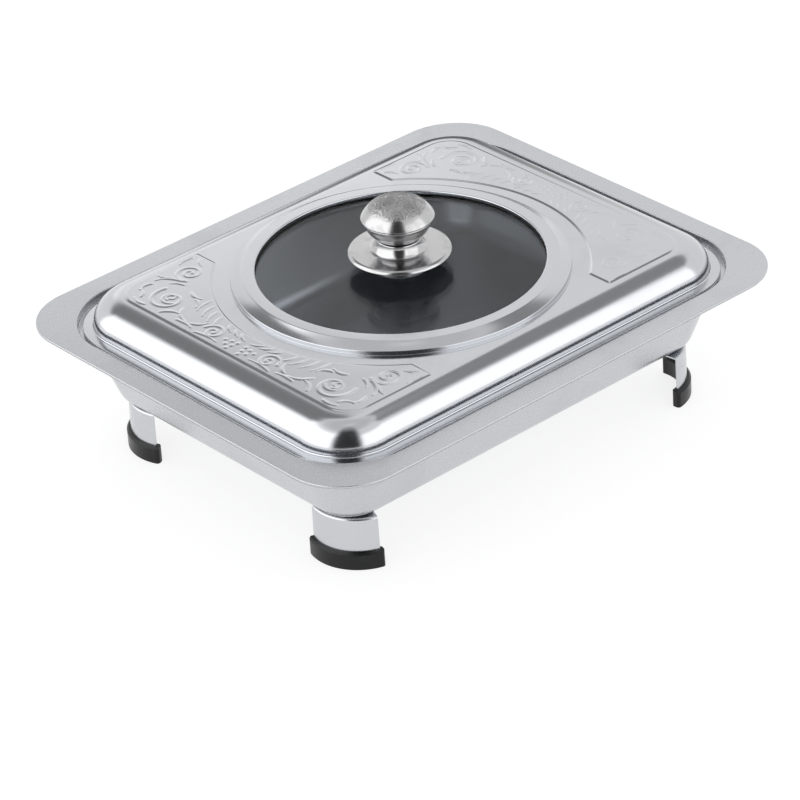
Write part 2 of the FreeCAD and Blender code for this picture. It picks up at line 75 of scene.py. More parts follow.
# %% [markdown]
# ## Sizes
#
# Blender works in metres and the sheet metal is thought of in millimetres, so one factor turns one into
# the other. The large sizes are read from the boxes of the solids. Only what a box can't tell, such as
# a bend radius, is written here.

# %% Sizes read from the solids
MM = 0.001
SHEET = 0.8 * MM
low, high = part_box("outer_pan")
FLANGE = (high.x, high.y, 38.5 * MM)
FLANGE_TOP = high.z
PAN_BOTTOM = low.z
low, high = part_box("lid_shell")
BRIM = (high.x, high.y, 41.4 * MM)
LIP_BOTTOM = low.z
RING_TOP = high.z - 0.25 * MM
print("flange", [round(size / MM, 2) for size in FLANGE], "top", round(FLANGE_TOP / MM, 2))

# %% [markdown]
# ## Building with nodes
#
# Materials and Geometry Nodes are both trees of nodes. They can be drawn by hand in an editor, but a script
# is easier to read when adding a node, setting its values and linking it take one line, so a few helpers
# come first.

# %% Helpers for node trees
FLOAT, VECTOR, COLOUR = "NodeSocketFloat", "NodeSocketVector", "NodeSocketColor"
GEOMETRY, MATERIAL = "NodeSocketGeometry", "NodeSocketMaterial"


def put(tree, kind, values=None, **settings):
    """Adds a node. A value is a number, a colour, or the output of another node, which gets linked."""
    node = tree.nodes.new(kind)
    for key, setting in settings.items():
        setattr(node, key, setting)
    for socket, value in (values or {}).items():
        if isinstance(value, bpy.types.NodeSocket):
            tree.links.new(value, node.inputs[socket])
        else:
            node.inputs[socket].default_value = value
    return node


def calc(tree, operation, *values):
    return put(tree, "ShaderNodeMath", dict(enumerate(values)), operation=operation).outputs[0]


def vector(tree, operation, *values):
    return put(tree, "ShaderNodeVectorMath", dict(enumerate(values)), operation=operation).outputs[0]


def noise(tree, place, scale, detail=2.0, distortion=0.0):
    values = {"Vector": place, "Scale": scale, "Detail": detail, "Distortion": distortion}
    return put(tree, "ShaderNodeTexNoise", values).outputs[0]


def smooth(tree, value, start, end, to_start=0.0, to_end=1.0):
    """Soft step: to_start below the start value, to_end past the end value."""
    values = {"Value": value, "From Min": start, "From Max": end, "To Min": to_start, "To Max": to_end}
    return put(tree, "ShaderNodeMapRange", values, interpolation_type="SMOOTHSTEP").outputs[0]


def blend_colours(tree, share, first, second):
    return put(tree, "ShaderNodeMix", {0: share, 6: first, 7: second}, data_type="RGBA").outputs[2]


def split(tree, place):
    """The x, y and z of a vector."""
    return put(tree, "ShaderNodeSeparateXYZ", {0: place}).outputs


def off_axis(tree, place):
    """Distance from the upright axis."""
    return put(tree, "ShaderNodeVectorMath", {0: vector(tree, "MULTIPLY", place, (1, 1, 0))},
               operation="LENGTH").outputs["Value"]


def new_tree(name, kind, inputs, outputs):
    """A node group with named sockets; gives the tree, what comes in and what goes out."""
    tree = bpy.data.node_groups.new(name, kind)
    for label, socket_type in inputs:
        tree.interface.new_socket(name=label, in_out="INPUT", socket_type=socket_type)
    for label, socket_type in outputs:
        tree.interface.new_socket(name=label, in_out="OUTPUT", socket_type=socket_type)
    return tree, tree.nodes.new("NodeGroupInput").outputs, tree.nodes.new("NodeGroupOutput").inputs


def give(tree, result, *values):
    """Links values to what goes out of a group, in their order."""
    for value, socket in zip(values, result):
        tree.links.new(value, socket)
    return tree


# %% [markdown]
# ## Rolled and polished steel
#
# Stainless sheet is never one even grey. Rolling leaves a fine grain, the press draws it into streaks up
# the walls, cloths leave hairline scratches, and hands leave faint dull patches. The inside of the well is
# duller again, because the draw stretches it and food is scraped from it. It is also painted a much
# lighter grey there, a painted sheen that brightens the walls more the higher they rise. One shader group
# makes all of this, and each sheet gets its own values: satin for the pan, brighter and smoother for the
# lid. An image texture could do the same, but would need an unwrapped surface. The noise is read from the
# place in the object, so it runs on through every bend.

# %% Shader group: worn steel
SURFACE = [("Colour", COLOUR), ("Roughness", FLOAT), ("Height", FLOAT)]
SCRATCH_SETS = ((0.35, 22.0), (-0.9, 31.0), (1.9, 17.0))
# Painted sheen: the well's inside is blended toward this much lighter grey. The dullness is its real extra
# roughness.
WELL_PAINTED_SHEEN_GREY, WELL_DULLNESS = (0.86, 0.875, 0.89, 1), 0.45


def uneven(tree, lines, smudge, share):
    """How far the dullness strays from its mean: fine lines about zero, and more in the smudges."""
    return calc(tree, "ADD", calc(tree, "SUBTRACT", lines, 0.5), calc(tree, "MULTIPLY", smudge, share))


def make_worn_steel():
    tree, given, result = new_tree("worn_steel", "ShaderNodeTree", [
        ("Place", VECTOR), ("Grain", VECTOR), ("Clean", COLOUR), ("Handled", COLOUR), ("Roughness", FLOAT),
        ("Swing", FLOAT), ("Smudges", FLOAT), ("Inside", FLOAT)], SURFACE)
    place = given["Place"]
    grain = noise(tree, vector(tree, "MULTIPLY", place, given["Grain"]), 1.0, detail=1.0)
    smudge = smooth(tree, noise(tree, place, given["Smudges"], detail=4.0, distortion=0.8), 0.48, 0.68)
    scratches = []
    for angle, size in SCRATCH_SETS:
        turned_place = put(tree, "ShaderNodeVectorRotate", {"Vector": place, "Angle": angle},
                           rotation_type="Z_AXIS").outputs[0]
        drawn_out = vector(tree, "MULTIPLY", turned_place, (size, size * 90, size * 30))
        lines = noise(tree, drawn_out, 1.0, detail=1.0)
        scratches.append(smooth(tree, lines, 0.79, 0.85))
    scratch = calc(tree, "MAXIMUM", calc(tree, "MAXIMUM", scratches[0], scratches[1]), scratches[2])
    share = calc(tree, "MULTIPLY_ADD", smudge, 0.6, calc(tree, "MULTIPLY", grain, 0.2))
    colour = blend_colours(tree, share, given["Clean"], given["Handled"])
    # Painted light: the well's inside is lightened toward a pale grey.
    colour = blend_colours(tree, given["Inside"], colour, WELL_PAINTED_SHEEN_GREY)
    swing = calc(tree, "MULTIPLY_ADD", scratch, 0.6, uneven(tree, grain, smudge, 0.5))
    rough = calc(tree, "MULTIPLY_ADD", swing, given["Swing"], given["Roughness"])
    rough = calc(tree, "MULTIPLY_ADD", given["Inside"], WELL_DULLNESS, rough)
    return give(tree, result, colour, rough, calc(tree, "MULTIPLY_ADD", scratch, -0.2, grain))


WORN_STEEL = make_worn_steel()


METAL = {"Metallic": 1.0}
FINE = 0.02 * MM


def rgba(colour, light=1.0):
    return (*(channel * light for channel in colour), 1)


def new_material(name, plain):
    """Material with plain values on its shader; also gives its tree, its shader and the place."""
    material = bpy.data.materials.new(name)
    material.use_nodes = True
    tree = material.node_tree
    shader = tree.nodes["Principled BSDF"]
    for socket, value in plain.items():
        shader.inputs[socket].default_value = value
    return material, tree, shader, put(tree, "ShaderNodeTexCoord").outputs["Object"]


def finish(name, group, values, bump, plain=METAL, mask=None):
    """Material from one surface group; bump is (strength, depth), mask names an attribute of the mesh."""
    material, tree, shader, place = new_material(name, plain)
    values = {"Place": place, **values}
    if mask:
        values[mask] = put(tree, "ShaderNodeAttribute", attribute_name=mask).outputs["Fac"]
    surface = put(tree, "ShaderNodeGroup", values, node_tree=group).outputs
    relief = put(tree, "ShaderNodeBump", {
        "Strength": bump[0], "Distance": bump[1], "Height": surface["Height"]})
    tree.links.new(surface["Colour"], shader.inputs["Base Color"])
    tree.links.new(surface["Roughness"], shader.inputs["Roughness"])
    tree.links.new(relief.outputs[0], shader.inputs["Normal"])
    return material


def steel_sheet(name, roughness, swing, grain, smudges, bump, light=1.0, mask=None):
    values = {"Grain": grain, "Roughness": roughness, "Swing": swing, "Smudges": smudges,
              "Clean": rgba((0.575, 0.589, 0.613), light), "Handled": rgba((0.545, 0.557, 0.578), light)}
    return finish(name, WORN_STEEL, values, (bump, FINE), mask=mask)


# The pan's mask gives its well more roughness and a painted lighter grey, a painted sheen on the walls.
satin_pan = steel_sheet("satin_pan_steel", 0.27, 0.06, (340, 340, 60), 16.0, 0.02, mask="Inside")
bright_lid = steel_sheet("bright_lid_steel", 0.165, 0.04, (300, 300, 300), 19.0, 0.015)
leg_strip = steel_sheet("leg_strip_steel", 0.24, 0.07, (600, 600, 90), 40.0, 0.03, 1.04)
plain_fitting = steel_sheet("plain_fitting_steel", 0.30, 0.10, (1500, 1500, 300), 60.0, 0.08, 0.95)

# %% [markdown]
# ## Turned and engraved steel
#
# The knob is polished while it spins, so its fine lines run round the axis. The group reads only the
# distance from the axis and the height, which gives rings. Inside the crown's radius the surface is
# engraved and matt, so the same group makes it rougher and greyer there.

# %% Shader group: lathe lines
def make_lathe_lines():
    tree, given, result = new_tree("lathe_lines", "ShaderNodeTree", [
        ("Place", VECTOR), ("Clean", COLOUR), ("Dull", COLOUR), ("Roughness", FLOAT), ("Swing", FLOAT),
        ("Crown", FLOAT), ("Crown Roughness", FLOAT), ("Engraved", FLOAT)], SURFACE)
    place = given["Place"]
    radius = off_axis(tree, place)
    across = put(tree, "ShaderNodeCombineXYZ", {0: radius, 1: split(tree, place)[2]}).outputs[0]
    lines = noise(tree, across, 2600.0, detail=2.0)
    smudge = smooth(tree, noise(tree, place, 110.0, detail=3.0, distortion=1.0), 0.5, 0.7)
    crown = smooth(tree, radius, given["Crown"], calc(tree, "MULTIPLY", given["Crown"], 0.86))
    flecks = noise(tree, place, 900.0, detail=3.0)
    matt = calc(tree, "MULTIPLY", crown, calc(tree, "MULTIPLY_ADD", given["Engraved"], 1.2, flecks))
    share = calc(tree, "MINIMUM", calc(tree, "MAXIMUM", calc(tree, "MULTIPLY", smudge, 0.4), matt), 1.0)
    colour = blend_colours(tree, share, given["Clean"], given["Dull"])
    swing = uneven(tree, lines, smudge, 0.6)
    rough = calc(tree, "MULTIPLY_ADD", swing, given["Swing"], given["Roughness"])
    rough = calc(tree, "MULTIPLY_ADD", matt, given["Crown Roughness"], rough)
    return give(tree, result, colour, rough, calc(tree, "MULTIPLY_ADD", matt, 3.0, lines))


LATHE_LINES = make_lathe_lines()
NO_CROWN = 0.001 * MM
CROWN_RADIUS = 18.5 * MM


def turned_metal(name, clean, dull_and_lit, roughness, crown=NO_CROWN, crown_roughness=0.0, mask=None):
    values = {"Clean": rgba(clean), "Dull": rgba(dull_and_lit), "Roughness": roughness, "Swing": 0.07,
              "Crown": crown, "Crown Roughness": crown_roughness}
    return finish(name, LATHE_LINES, values, (0.06, FINE), mask=mask)


KNOB_GREY, KNOB_DULL, CROWN_DULL = (0.52, 0.52, 0.525), (0.38, 0.38, 0.385), (0.33, 0.33, 0.33)
knob_bright = turned_metal("bright_knob_steel", KNOB_GREY, KNOB_DULL, 0.17)
knob_crown = turned_metal(
    "engraved_knob_steel", KNOB_GREY, CROWN_DULL, 0.19, CROWN_RADIUS, 0.16, "Engraved")
turned_brass = turned_metal("turned_brass", (0.72, 0.52, 0.22), (0.5, 0.34, 0.13), 0.25)

# %% [markdown]
# ## Rubber, resin and glass
#
# The foot caps and seals are moulded, with a very fine skin and a little dust. The window stays plain clear
# glass, because a milky pattern inside it would be wrong from below. Only its roughness varies, as
# fingerprints and dried drops do it. Its refraction is set lower than that of real glass, because the
# photograph was lit so that the steel is bright and the pane beside it mirrors very little.

# %% Shader groups: moulded skin and glass film
def make_moulded_skin():
    tree, given, result = new_tree("moulded_skin", "ShaderNodeTree", [
        ("Place", VECTOR), ("Deep", COLOUR), ("Dusty", COLOUR), ("Roughness", FLOAT)], SURFACE)
    fine = noise(tree, given["Place"], 1400.0, detail=2.0)
    broad = smooth(tree, noise(tree, given["Place"], 130.0, detail=4.0), 0.45, 0.75)
    colour = blend_colours(tree, calc(tree, "MULTIPLY", broad, fine), given["Deep"], given["Dusty"])
    return give(tree, result, colour, calc(tree, "MULTIPLY_ADD", broad, 0.15, given["Roughness"]), fine)


def make_glass_film():
    tree, given, result = new_tree("glass_film", "ShaderNodeTree", [("Place", VECTOR), ("Most", FLOAT)],
                                   [("Roughness", FLOAT)])
    film = noise(tree, given["Place"], 24.0, detail=2.0, distortion=0.5)
    return give(tree, result, smooth(tree, film, 0.45, 0.75, 0.004, given["Most"]))


MOULDED_SKIN, GLASS_FILM = make_moulded_skin(), make_glass_film()


def moulded(name, deep, dusty, roughness):
    values = {"Deep": rgba(deep), "Dusty": rgba(dusty), "Roughness": roughness}
    plain = {"Metallic": 0.0, "Specular IOR Level": 0.35}
    return finish(name, MOULDED_SKIN, values, (0.25, 0.03 * MM), plain)


cap_rubber = moulded("black_cap_rubber", (0.0055, 0.0058, 0.0065), (0.022, 0.022, 0.024), 0.30)
seal_silicone = moulded("grey_seal_silicone", (0.10, 0.102, 0.105), (0.17, 0.17, 0.175), 0.40)
dark_resin = moulded("dark_resin", (0.018, 0.011, 0.008), (0.05, 0.03, 0.02), 0.35)


def clear_glass():
    material, tree, shader, place = new_material("clear_window_glass", {
        "Base Color": rgba((0.88, 0.915, 0.95)), "Metallic": 0.0, "Transmission Weight": 1.0,
        "IOR": 1.2, "Specular IOR Level": 0.18})
    film = put(tree, "ShaderNodeGroup", {"Place": place, "Most": 0.012}, node_tree=GLASS_FILM)
    tree.links.new(film.outputs[0], shader.inputs["Roughness"])
    return material


window_glass = clear_glass()
print("finishes:", len(bpy.data.materials))

# %% [markdown]
# ## Skins from stacked outlines
#
# A pressed pan is one thin sheet, and every level of it is a rounded rectangle. A list of such outlines,
# one for each level, describes the whole pressing. Joining neighbours with four-sided faces gives a skin
# that is smooth along the bends. A subdivision surface would be quicker to draw, but it would let the
# flat parts sag, and a mirror finish would show that.

# %% Rounded outlines and the skin between them
CORNER_STEPS = 30
OUTLINE_POINTS = 4 * (CORNER_STEPS + 1)
WELD = 0.004 * MM


def place_object(name, data):
    made = bpy.data.objects.new(name, data)
    bpy.context.scene.collection.objects.link(made)
    return made


def polar(radius, angle, centre=(0.0, 0.0)):
    """Point at a radius and an angle about a centre."""
    return centre[0] + radius * math.cos(angle), centre[1] + radius * math.sin(angle)


def spread(start, end, steps):
    """Even values from start to end, one more than the steps."""
    return [start + (end - start) * i / steps for i in range(steps + 1)]


def rounded_outline(half_x, half_y, corner, height):
    """Points of a rounded rectangle, the same number for every size."""
    points = []
    for quarter, (side_x, side_y) in enumerate(((1, 1), (-1, 1), (-1, -1), (1, -1))):
        centre = (side_x * (half_x - corner), side_y * (half_y - corner))
        for step in range(CORNER_STEPS + 1):
            angle = math.radians(90 * (quarter + step / CORNER_STEPS))
            points.append((*polar(corner, angle, centre), height))
    return points


def circle_outline(radius, height, points=OUTLINE_POINTS):
    """Points of a circle, started so that they face those of a rounded rectangle."""
    start = math.radians(45) - math.pi * CORNER_STEPS / points
    angles = [start + 2 * math.pi * index / points for index in range(points)]
    return [(*polar(radius, a), height) for a in angles]


def grown(outline, margin):
    return tuple(size + margin for size in outline)


def levels(outline, section):
    """One rounded outline for each (out, up) of a section, grown from a given one."""
    return [rounded_outline(*grown(outline, out), up) for out, up in section]


def soft_step(share):
    """0 to 1 with a level start and end."""
    return 0.5 - 0.5 * math.cos(math.pi * share)


def bend(centre, radius, start, end, steps):
    """Points (out, up) along a bend in the section, between two angles in degrees."""
    return [polar(radius, math.radians(a), centre) for a in spread(start, end, steps)]


class Skin:
    """Collects faces, then welds them into one closed mesh."""

    def __init__(self):
        self.points = []
        self.faces = []

    def ring(self, points):
        first = len(self.points)
        self.points += points
        return list(range(first, first + len(points)))

    def join(self, lower, upper):
        """Quads between two rings of the same length; seen from outside, lower runs to the left."""
        count = len(lower)
        for i in range(count):
            j = (i + 1) % count
            self.faces.append((lower[i], lower[j], upper[j], upper[i]))

    def stack(self, outlines):
        rings = [self.ring(points) for points in outlines]
        for lower, upper in zip(rings, rings[1:]):
            self.join(lower, upper)
        return rings

    def make(self, name):
        mesh = bpy.data.meshes.new(name)
        mesh.from_pydata(self.points, [], self.faces)
        work = bmesh.new()
        work.from_mesh(mesh)
        bmesh.ops.remove_doubles(work, verts=work.verts, dist=WELD)
        bmesh.ops.recalc_face_normals(work, faces=work.faces)
        open_edges = sum(1 for edge in work.edges if len(edge.link_faces) != 2)
        work.to_mesh(mesh)
        work.free()
        mesh.shade_smooth()
        print(name, "faces", len(mesh.polygons), "open edges", open_edges)
        return place_object(name, mesh)


def keep_result(piece):
    """Turns what the modifiers make into the piece's own plain mesh, and drops the modifiers."""
    graph = bpy.context.evaluated_depsgraph_get()
    finished = bpy.data.meshes.new_from_object(piece.evaluated_get(graph), depsgraph=graph)
    piece.modifiers.clear()
    old = piece.data
    piece.data = finished
    finished.name = piece.name
    bpy.data.meshes.remove(old)
    return piece


def even_normals(piece):
    """Lets flat parts keep their own normal next to a bend."""
    modifier = piece.modifiers.new("even_normals", "WEIGHTED_NORMAL")
    modifier.weight = 100
    modifier.keep_sharp = True
    return keep_result(piece)


def above(tree, value, limit):
    """True where a value is over a limit."""
    return put(tree, "FunctionNodeCompare", {"A": value, "B": limit}, data_type="FLOAT",
               operation="GREATER_THAN").outputs[0]


def end_tree(tree, geometry, material, result):
    """Last two nodes of each geometry tree: real geometry with a material of its own."""
    real = put(tree, "GeometryNodeRealizeInstances", {0: geometry}).outputs[0]
    made = put(tree, "GeometryNodeSetMaterial", {"Geometry": real, "Material": material}).outputs[0]
    return give(tree, result, made)


def run_tree(piece, tree, values):
    """Runs a geometry tree on a piece, with values for its named inputs."""
    modifier = piece.modifiers.new(tree.name, "NODES")
    modifier.node_group = tree
    for item in tree.interface.items_tree:
        if item.in_out == "INPUT" and item.name in values:
            modifier[item.identifier] = values[item.name]
    return keep_result(piece)


# %% [markdown]
# ## The pan
#
# One deep-drawn sheet: a floor with a slightly raised field, walls that lean out by about 21 degrees, a
# ledge that carries the lid, and the wide flat flange with a small turned-down lip. The section is
# followed from the middle of the inside floor, over the flange, and back to the middle of the outside.
# The finished skin then says at each point how dull its steel is, because only the inside gets scraped,
# and how much its grey is lightened there as painted light.

# %% Section of the pan
WALL_LEAN = math.radians(21.1)
RECESS = (FLANGE[0] - 13.9 * MM, FLANGE[1] - 15.05 * MM, 49.0 * MM)
LEDGE_TOP = FLANGE_TOP - 5.3 * MM
WELL_CORNER = 20.5 * MM
WELL_SPREAD = math.tan(WALL_LEAN) * (LEDGE_TOP - PAN_BOTTOM)
MOUTH = (RECESS[0] - 5.3 * MM, RECESS[1] - 7.2 * MM, WELL_CORNER + WELL_SPREAD)
FLOOR = grown(MOUTH, -WELL_SPREAD)
FIELD = (FLOOR[0] - 40.2 * MM, FLOOR[1] - 43.9 * MM, 28.0 * MM)
FIELD_RISE = 0.8 * MM
FIELD_SLOPE = 1.6 * MM
FLANGE_LIP = 1.5 * MM
EDGE_ROUND = 0.4 * MM
FLOOR_BEND = 10.4 * MM
LEDGE_BEND = 0.9 * MM
LEDGE_CORNER = 0.5 * MM
RIM_BEND = 0.6 * MM


def well_side(shift, bottom, radius, top):
    """Outlines from the floor's edge, round the bend and up the leaning wall to a height."""
    lean = math.degrees(WALL_LEAN)
    edge = math.tan(WALL_LEAN) * (bottom - PAN_BOTTOM) - shift
    reach = radius * math.tan(math.radians(90 - lean) / 2)
    centre = (edge - reach, bottom + radius)
    section = bend(centre, radius, -90, -lean, 10)
    section.append((edge + math.tan(WALL_LEAN) * (top - bottom), top))
    return levels(FLOOR, section)


def field_step(height):
    """Soft step from the top of the raised field down to the floor, seen from the middle outwards."""
    return levels(FIELD, [(FIELD_SLOPE * (share - 1), height - FIELD_RISE * soft_step(share))
                          for share in spread(0, 1, 6)])


def make_pan():
    skin = Skin()
    inner_floor = PAN_BOTTOM + SHEET
    inside = field_step(inner_floor + FIELD_RISE)
    inside += well_side(SHEET, inner_floor, FLOOR_BEND, LEDGE_TOP - LEDGE_BEND)
    inside += levels(MOUTH, bend((LEDGE_BEND, LEDGE_TOP - LEDGE_BEND), LEDGE_BEND, 160, 90, 4))
    ledge = bend((-LEDGE_CORNER, LEDGE_TOP + LEDGE_CORNER), LEDGE_CORNER, -90, 0, 4)
    inside += levels(RECESS, ledge + bend((RIM_BEND, FLANGE_TOP - RIM_BEND), RIM_BEND, 180, 90, 5))
    lip_end = FLANGE_TOP - FLANGE_LIP
    lip = bend((-EDGE_ROUND, FLANGE_TOP - EDGE_ROUND), EDGE_ROUND, 90, 0, 4)
    lip += [(0, lip_end), (-SHEET, lip_end), (-SHEET, FLANGE_TOP - SHEET)]
    under = levels(RECESS, [(SHEET, FLANGE_TOP - SHEET), (SHEET, LEDGE_TOP - SHEET)])
    under += levels(MOUTH, [(0, LEDGE_TOP - SHEET)])
    outside = well_side(0, PAN_BOTTOM, FLOOR_BEND + SHEET, LEDGE_TOP - SHEET * 1.5)[::-1]
    outside += field_step(PAN_BOTTOM + FIELD_RISE)[::-1]
    rings = skin.stack(inside + levels(FLANGE, lip) + under + outside)
    skin.faces.append(tuple(rings[0]))
    skin.faces.append(tuple(reversed(rings[-1])))
    return even_normals(skin.make("outer_pan_skin"))


# Share of extra roughness and of painted lighter grey: a little on the floor, growing up the walls, fading
# out below the ledge.
FLOOR_DULL_AND_LIT, WALL_GAIN, LEDGE_FADE = 0.15, 1.6, 4 * MM


def mark_dull_and_lit_well(piece):
    """Stores how dull the well's inside is and how much painted light lightens it: a little on the floor,
    and more up the walls to the ledge.
    """
    mesh = piece.data
    marks = mesh.attributes.new("Inside", "FLOAT", "POINT")
    for spot, mark in zip(mesh.vertices, marks.data):
        share = (spot.co.z - PAN_BOTTOM) / (LEDGE_TOP - PAN_BOTTOM)
        below = (LEDGE_TOP - LEDGE_BEND - spot.co.z) / LEDGE_FADE
        dull_and_lit = min(FLOOR_DULL_AND_LIT + WALL_GAIN * share, 1.0)
        faces_up = spot.normal.z > 0.1
        mark.value = dull_and_lit * min(1.0, max(0.0, below)) if faces_up else 0.0
    print("points on the dull walls:", sum(mark.value > 0.5 for mark in marks.data), "of", len(marks.data))


pan = make_pan()
mark_dull_and_lit_well(pan)

# %% [markdown]
# ## The lid
#
# The lid is pressed from one sheet too: a flat brim with a small lip, a quarter-round shoulder, a flat
# top with two raised end panels, and a sloping ring with a flat land about the window. The flat top is
# not a stack of outlines, because the panels are not concentric with it. Its outlines are filled by a
# constrained Delaunay triangulation, which keeps every drawn edge, and the panels get a fine grid inside
# them that the scrollwork can be pressed into.

# %% Sizes of the lid
BRIM_TOP = LIP_BOTTOM + 2.3 * MM
LID_TOP = BRIM_TOP + 17.7 * MM
LID_WALL = grown(BRIM, -6.4 * MM)
SHOULDER = 16.4 * MM
SHOULDER_LONG = 18.9 * MM
FOOT_BEND = 1.2 * MM
FLAT = (LID_WALL[0] - SHOULDER_LONG, LID_WALL[1] - SHOULDER, LID_WALL[2] - SHOULDER)
RING_RADIUS = FLAT[1] - 4.7 * MM
RING_OPENING = 86.4 * MM
RING_FOLD = 1.85 * MM
PANEL_RISE = 0.5 * MM
PANEL_MARGIN = 1.1 * MM
PANEL_ARC = 111.6 * MM
PANEL_END = 69.7 * MM
PANEL_SLOPE = 1.8 * MM
PANEL_GRID = 0.62 * MM
RING_ROOT = 0.35 * MM
RING_INSET = 0.1 * MM
RING_BEND, RING_TURN = 0.6 * MM, 70
RING_SLOPE, SLOPE_EASE, SLOPE_STEPS = 32.0, 1.5, 8
LAND_EDGE, LAND_BEND = 94.2 * MM, 0.9 * MM
print("window ring", round(RING_RADIUS / MM, 1), "opening", round(RING_OPENING / MM, 1))


def ring_section(shift):
    """Points (radius, up) over the window ring, from its foot to its land; shift moves in by one sheet."""
    slope = bend((LAND_EDGE, RING_TOP - LAND_BEND), LAND_BEND, 90, 58, 3)
    centre = RING_RADIUS - RING_INSET - RING_BEND
    turn = math.radians(RING_TURN)
    width = (centre + RING_BEND * math.cos(turn) - slope[-1][0]) / SLOPE_STEPS
    for step in range(SLOPE_STEPS):
        (out, up), fall = slope[-1], math.tan(math.radians(RING_SLOPE - SLOPE_EASE * step))
        slope.append((out + width, up - width * fall))
    edge = slope[-1][1] - RING_BEND * math.sin(turn)
    if shift:
        root = [(RING_RADIUS + RING_ROOT - shift, LID_TOP - shift), (RING_RADIUS - shift, edge)]
        return root + [(out, up - shift) for out, up in slope[-2::-1]]
    root = bend((RING_RADIUS + RING_ROOT, LID_TOP + RING_ROOT), RING_ROOT, -90, -176, 5)
    return root + bend((centre, edge), RING_BEND, 4, RING_TURN, 6) + slope[::-1]


def panel_outline(inset, side, height):
    """Outline of an end panel, moved inwards by an inset; side is +1 for the right end."""
    far_x = FLAT[0] - PANEL_MARGIN - inset
    far_y = FLAT[1] - PANEL_MARGIN - inset
    corner = FLAT[2] - PANEL_MARGIN - inset
    arc = PANEL_ARC + inset
    end_x = PANEL_END + inset
    arc_end = math.acos(end_x / arc)
    points = [polar(arc, a) for a in np.linspace(-1, 1, 97) * arc_end]
    half = [(end_x, y) for y in np.linspace(points[-1][1], far_y, 9)[1:-1]]
    half += [(x, far_y) for x in np.linspace(end_x, far_x - corner, 33)]
    half += bend((far_x - corner, far_y - corner), corner, 90, 0, 12)[1:]
    half += [(far_x, y) for y in np.linspace(far_y - corner, 0, 49)[1:-1]]
    outline = points + half + [(far_x, 0.0)] + [(x, -y) for x, y in reversed(half)]
    return [(side * x, y, height) for x, y in outline]


def inside_polygon(points, polygon):
    """True for each point that lies inside a polygon, by counting the edges to its right."""
    polygon = np.array(polygon)[:, :2]
    inside = np.zeros(len(points), bool)
    for (x1, y1), (x2, y2) in zip(polygon, np.roll(polygon, -1, axis=0)):
        crosses = (y1 > points[:, 1]) != (y2 > points[:, 1])
        if crosses.any():
            at = (x2 - x1) * (points[crosses, 1] - y1) / (y2 - y1) + x1
            inside[crosses] ^= points[crosses, 0] < at
    return inside


def filled(skin, loops, keep, height, extra=()):
    """Triangles between drawn loops at one height, only those whose middle passes the keep test."""
    flat, edges = [], []
    for loop in loops:
        first = len(flat)
        flat += [Vector((x, y)) for x, y, _ in loop]
        edges += [(first + i, first + (i + 1) % len(loop)) for i in range(len(loop))]
    flat += [Vector(point) for point in extra]
    found, _, triangles, _, _, _ = delaunay_2d_cdt(flat, edges, [], 0, 1e-9, False)
    found = np.array([tuple(point) for point in found])
    triangles = np.array(triangles)
    triangles = triangles[keep(found[triangles].mean(axis=1))]
    first = len(skin.points)
    skin.points += [(x, y, height) for x, y in found.tolist()]
    skin.faces += [tuple(first + i for i in triangle) for triangle in triangles.tolist()]


def grid_in(edge, polygon, spacing):
    """Grid of points, each row half a step aside: it starts at an edge and stays inside a polygon."""
    low, high = np.min(edge, axis=0), np.max(edge, axis=0)
    xs = np.arange(low[0], high[0], spacing)
    ys = np.arange(low[1], high[1], spacing * math.sqrt(0.75))
    rows = [np.column_stack([xs + (i % 2) * spacing / 2, np.full(len(xs), y)]) for i, y in enumerate(ys)]
    spots = np.concatenate(rows)
    return spots[inside_polygon(spots, polygon)]


# %% Fill the flat top and its end panels
def panelled_flat(skin, shift, top, grid):
    """Flat top at a height, open in the middle, with both panels; shift moves bends for the underside."""
    outer = rounded_outline(*FLAT, top)
    hole = circle_outline(RING_RADIUS + RING_ROOT + shift, top)
    feet = [panel_outline(shift, side, top) for side in (1, -1)]

    def on_flat(middles):
        keep = inside_polygon(middles, outer) & ~inside_polygon(middles, hole)
        for foot in feet:
            keep &= ~inside_polygon(middles, foot)
        return keep

    filled(skin, [outer, hole] + feet, on_flat, top)
    for side in (1, -1):
        rings = [panel_outline(shift + PANEL_SLOPE * share, side, top + PANEL_RISE * soft_step(share))
                 for share in spread(0, 1, 6)]
        skin.stack(rings)
        edge, extra = rings[-1], []
        if grid:
            extra = grid_in(edge, panel_outline(shift + PANEL_SLOPE + grid * 0.6, side, 0), grid)
        filled(skin, [edge], lambda middles: inside_polygon(middles, edge), top + PANEL_RISE, extra)


def shoulder_outlines(shift, steps):
    """Outlines up the shoulder, which is a little longer over the ends than over the sides."""
    outlines = []
    for angle in spread(0, 90, steps):
        out, up = polar(1.0, math.radians(angle))
        outlines.append(rounded_outline(
            FLAT[0] + (SHOULDER_LONG - shift) * out, FLAT[1] + (SHOULDER - shift) * out,
            FLAT[2] + (SHOULDER - shift) * out, LID_TOP - SHOULDER + (SHOULDER - shift) * up))
    return outlines


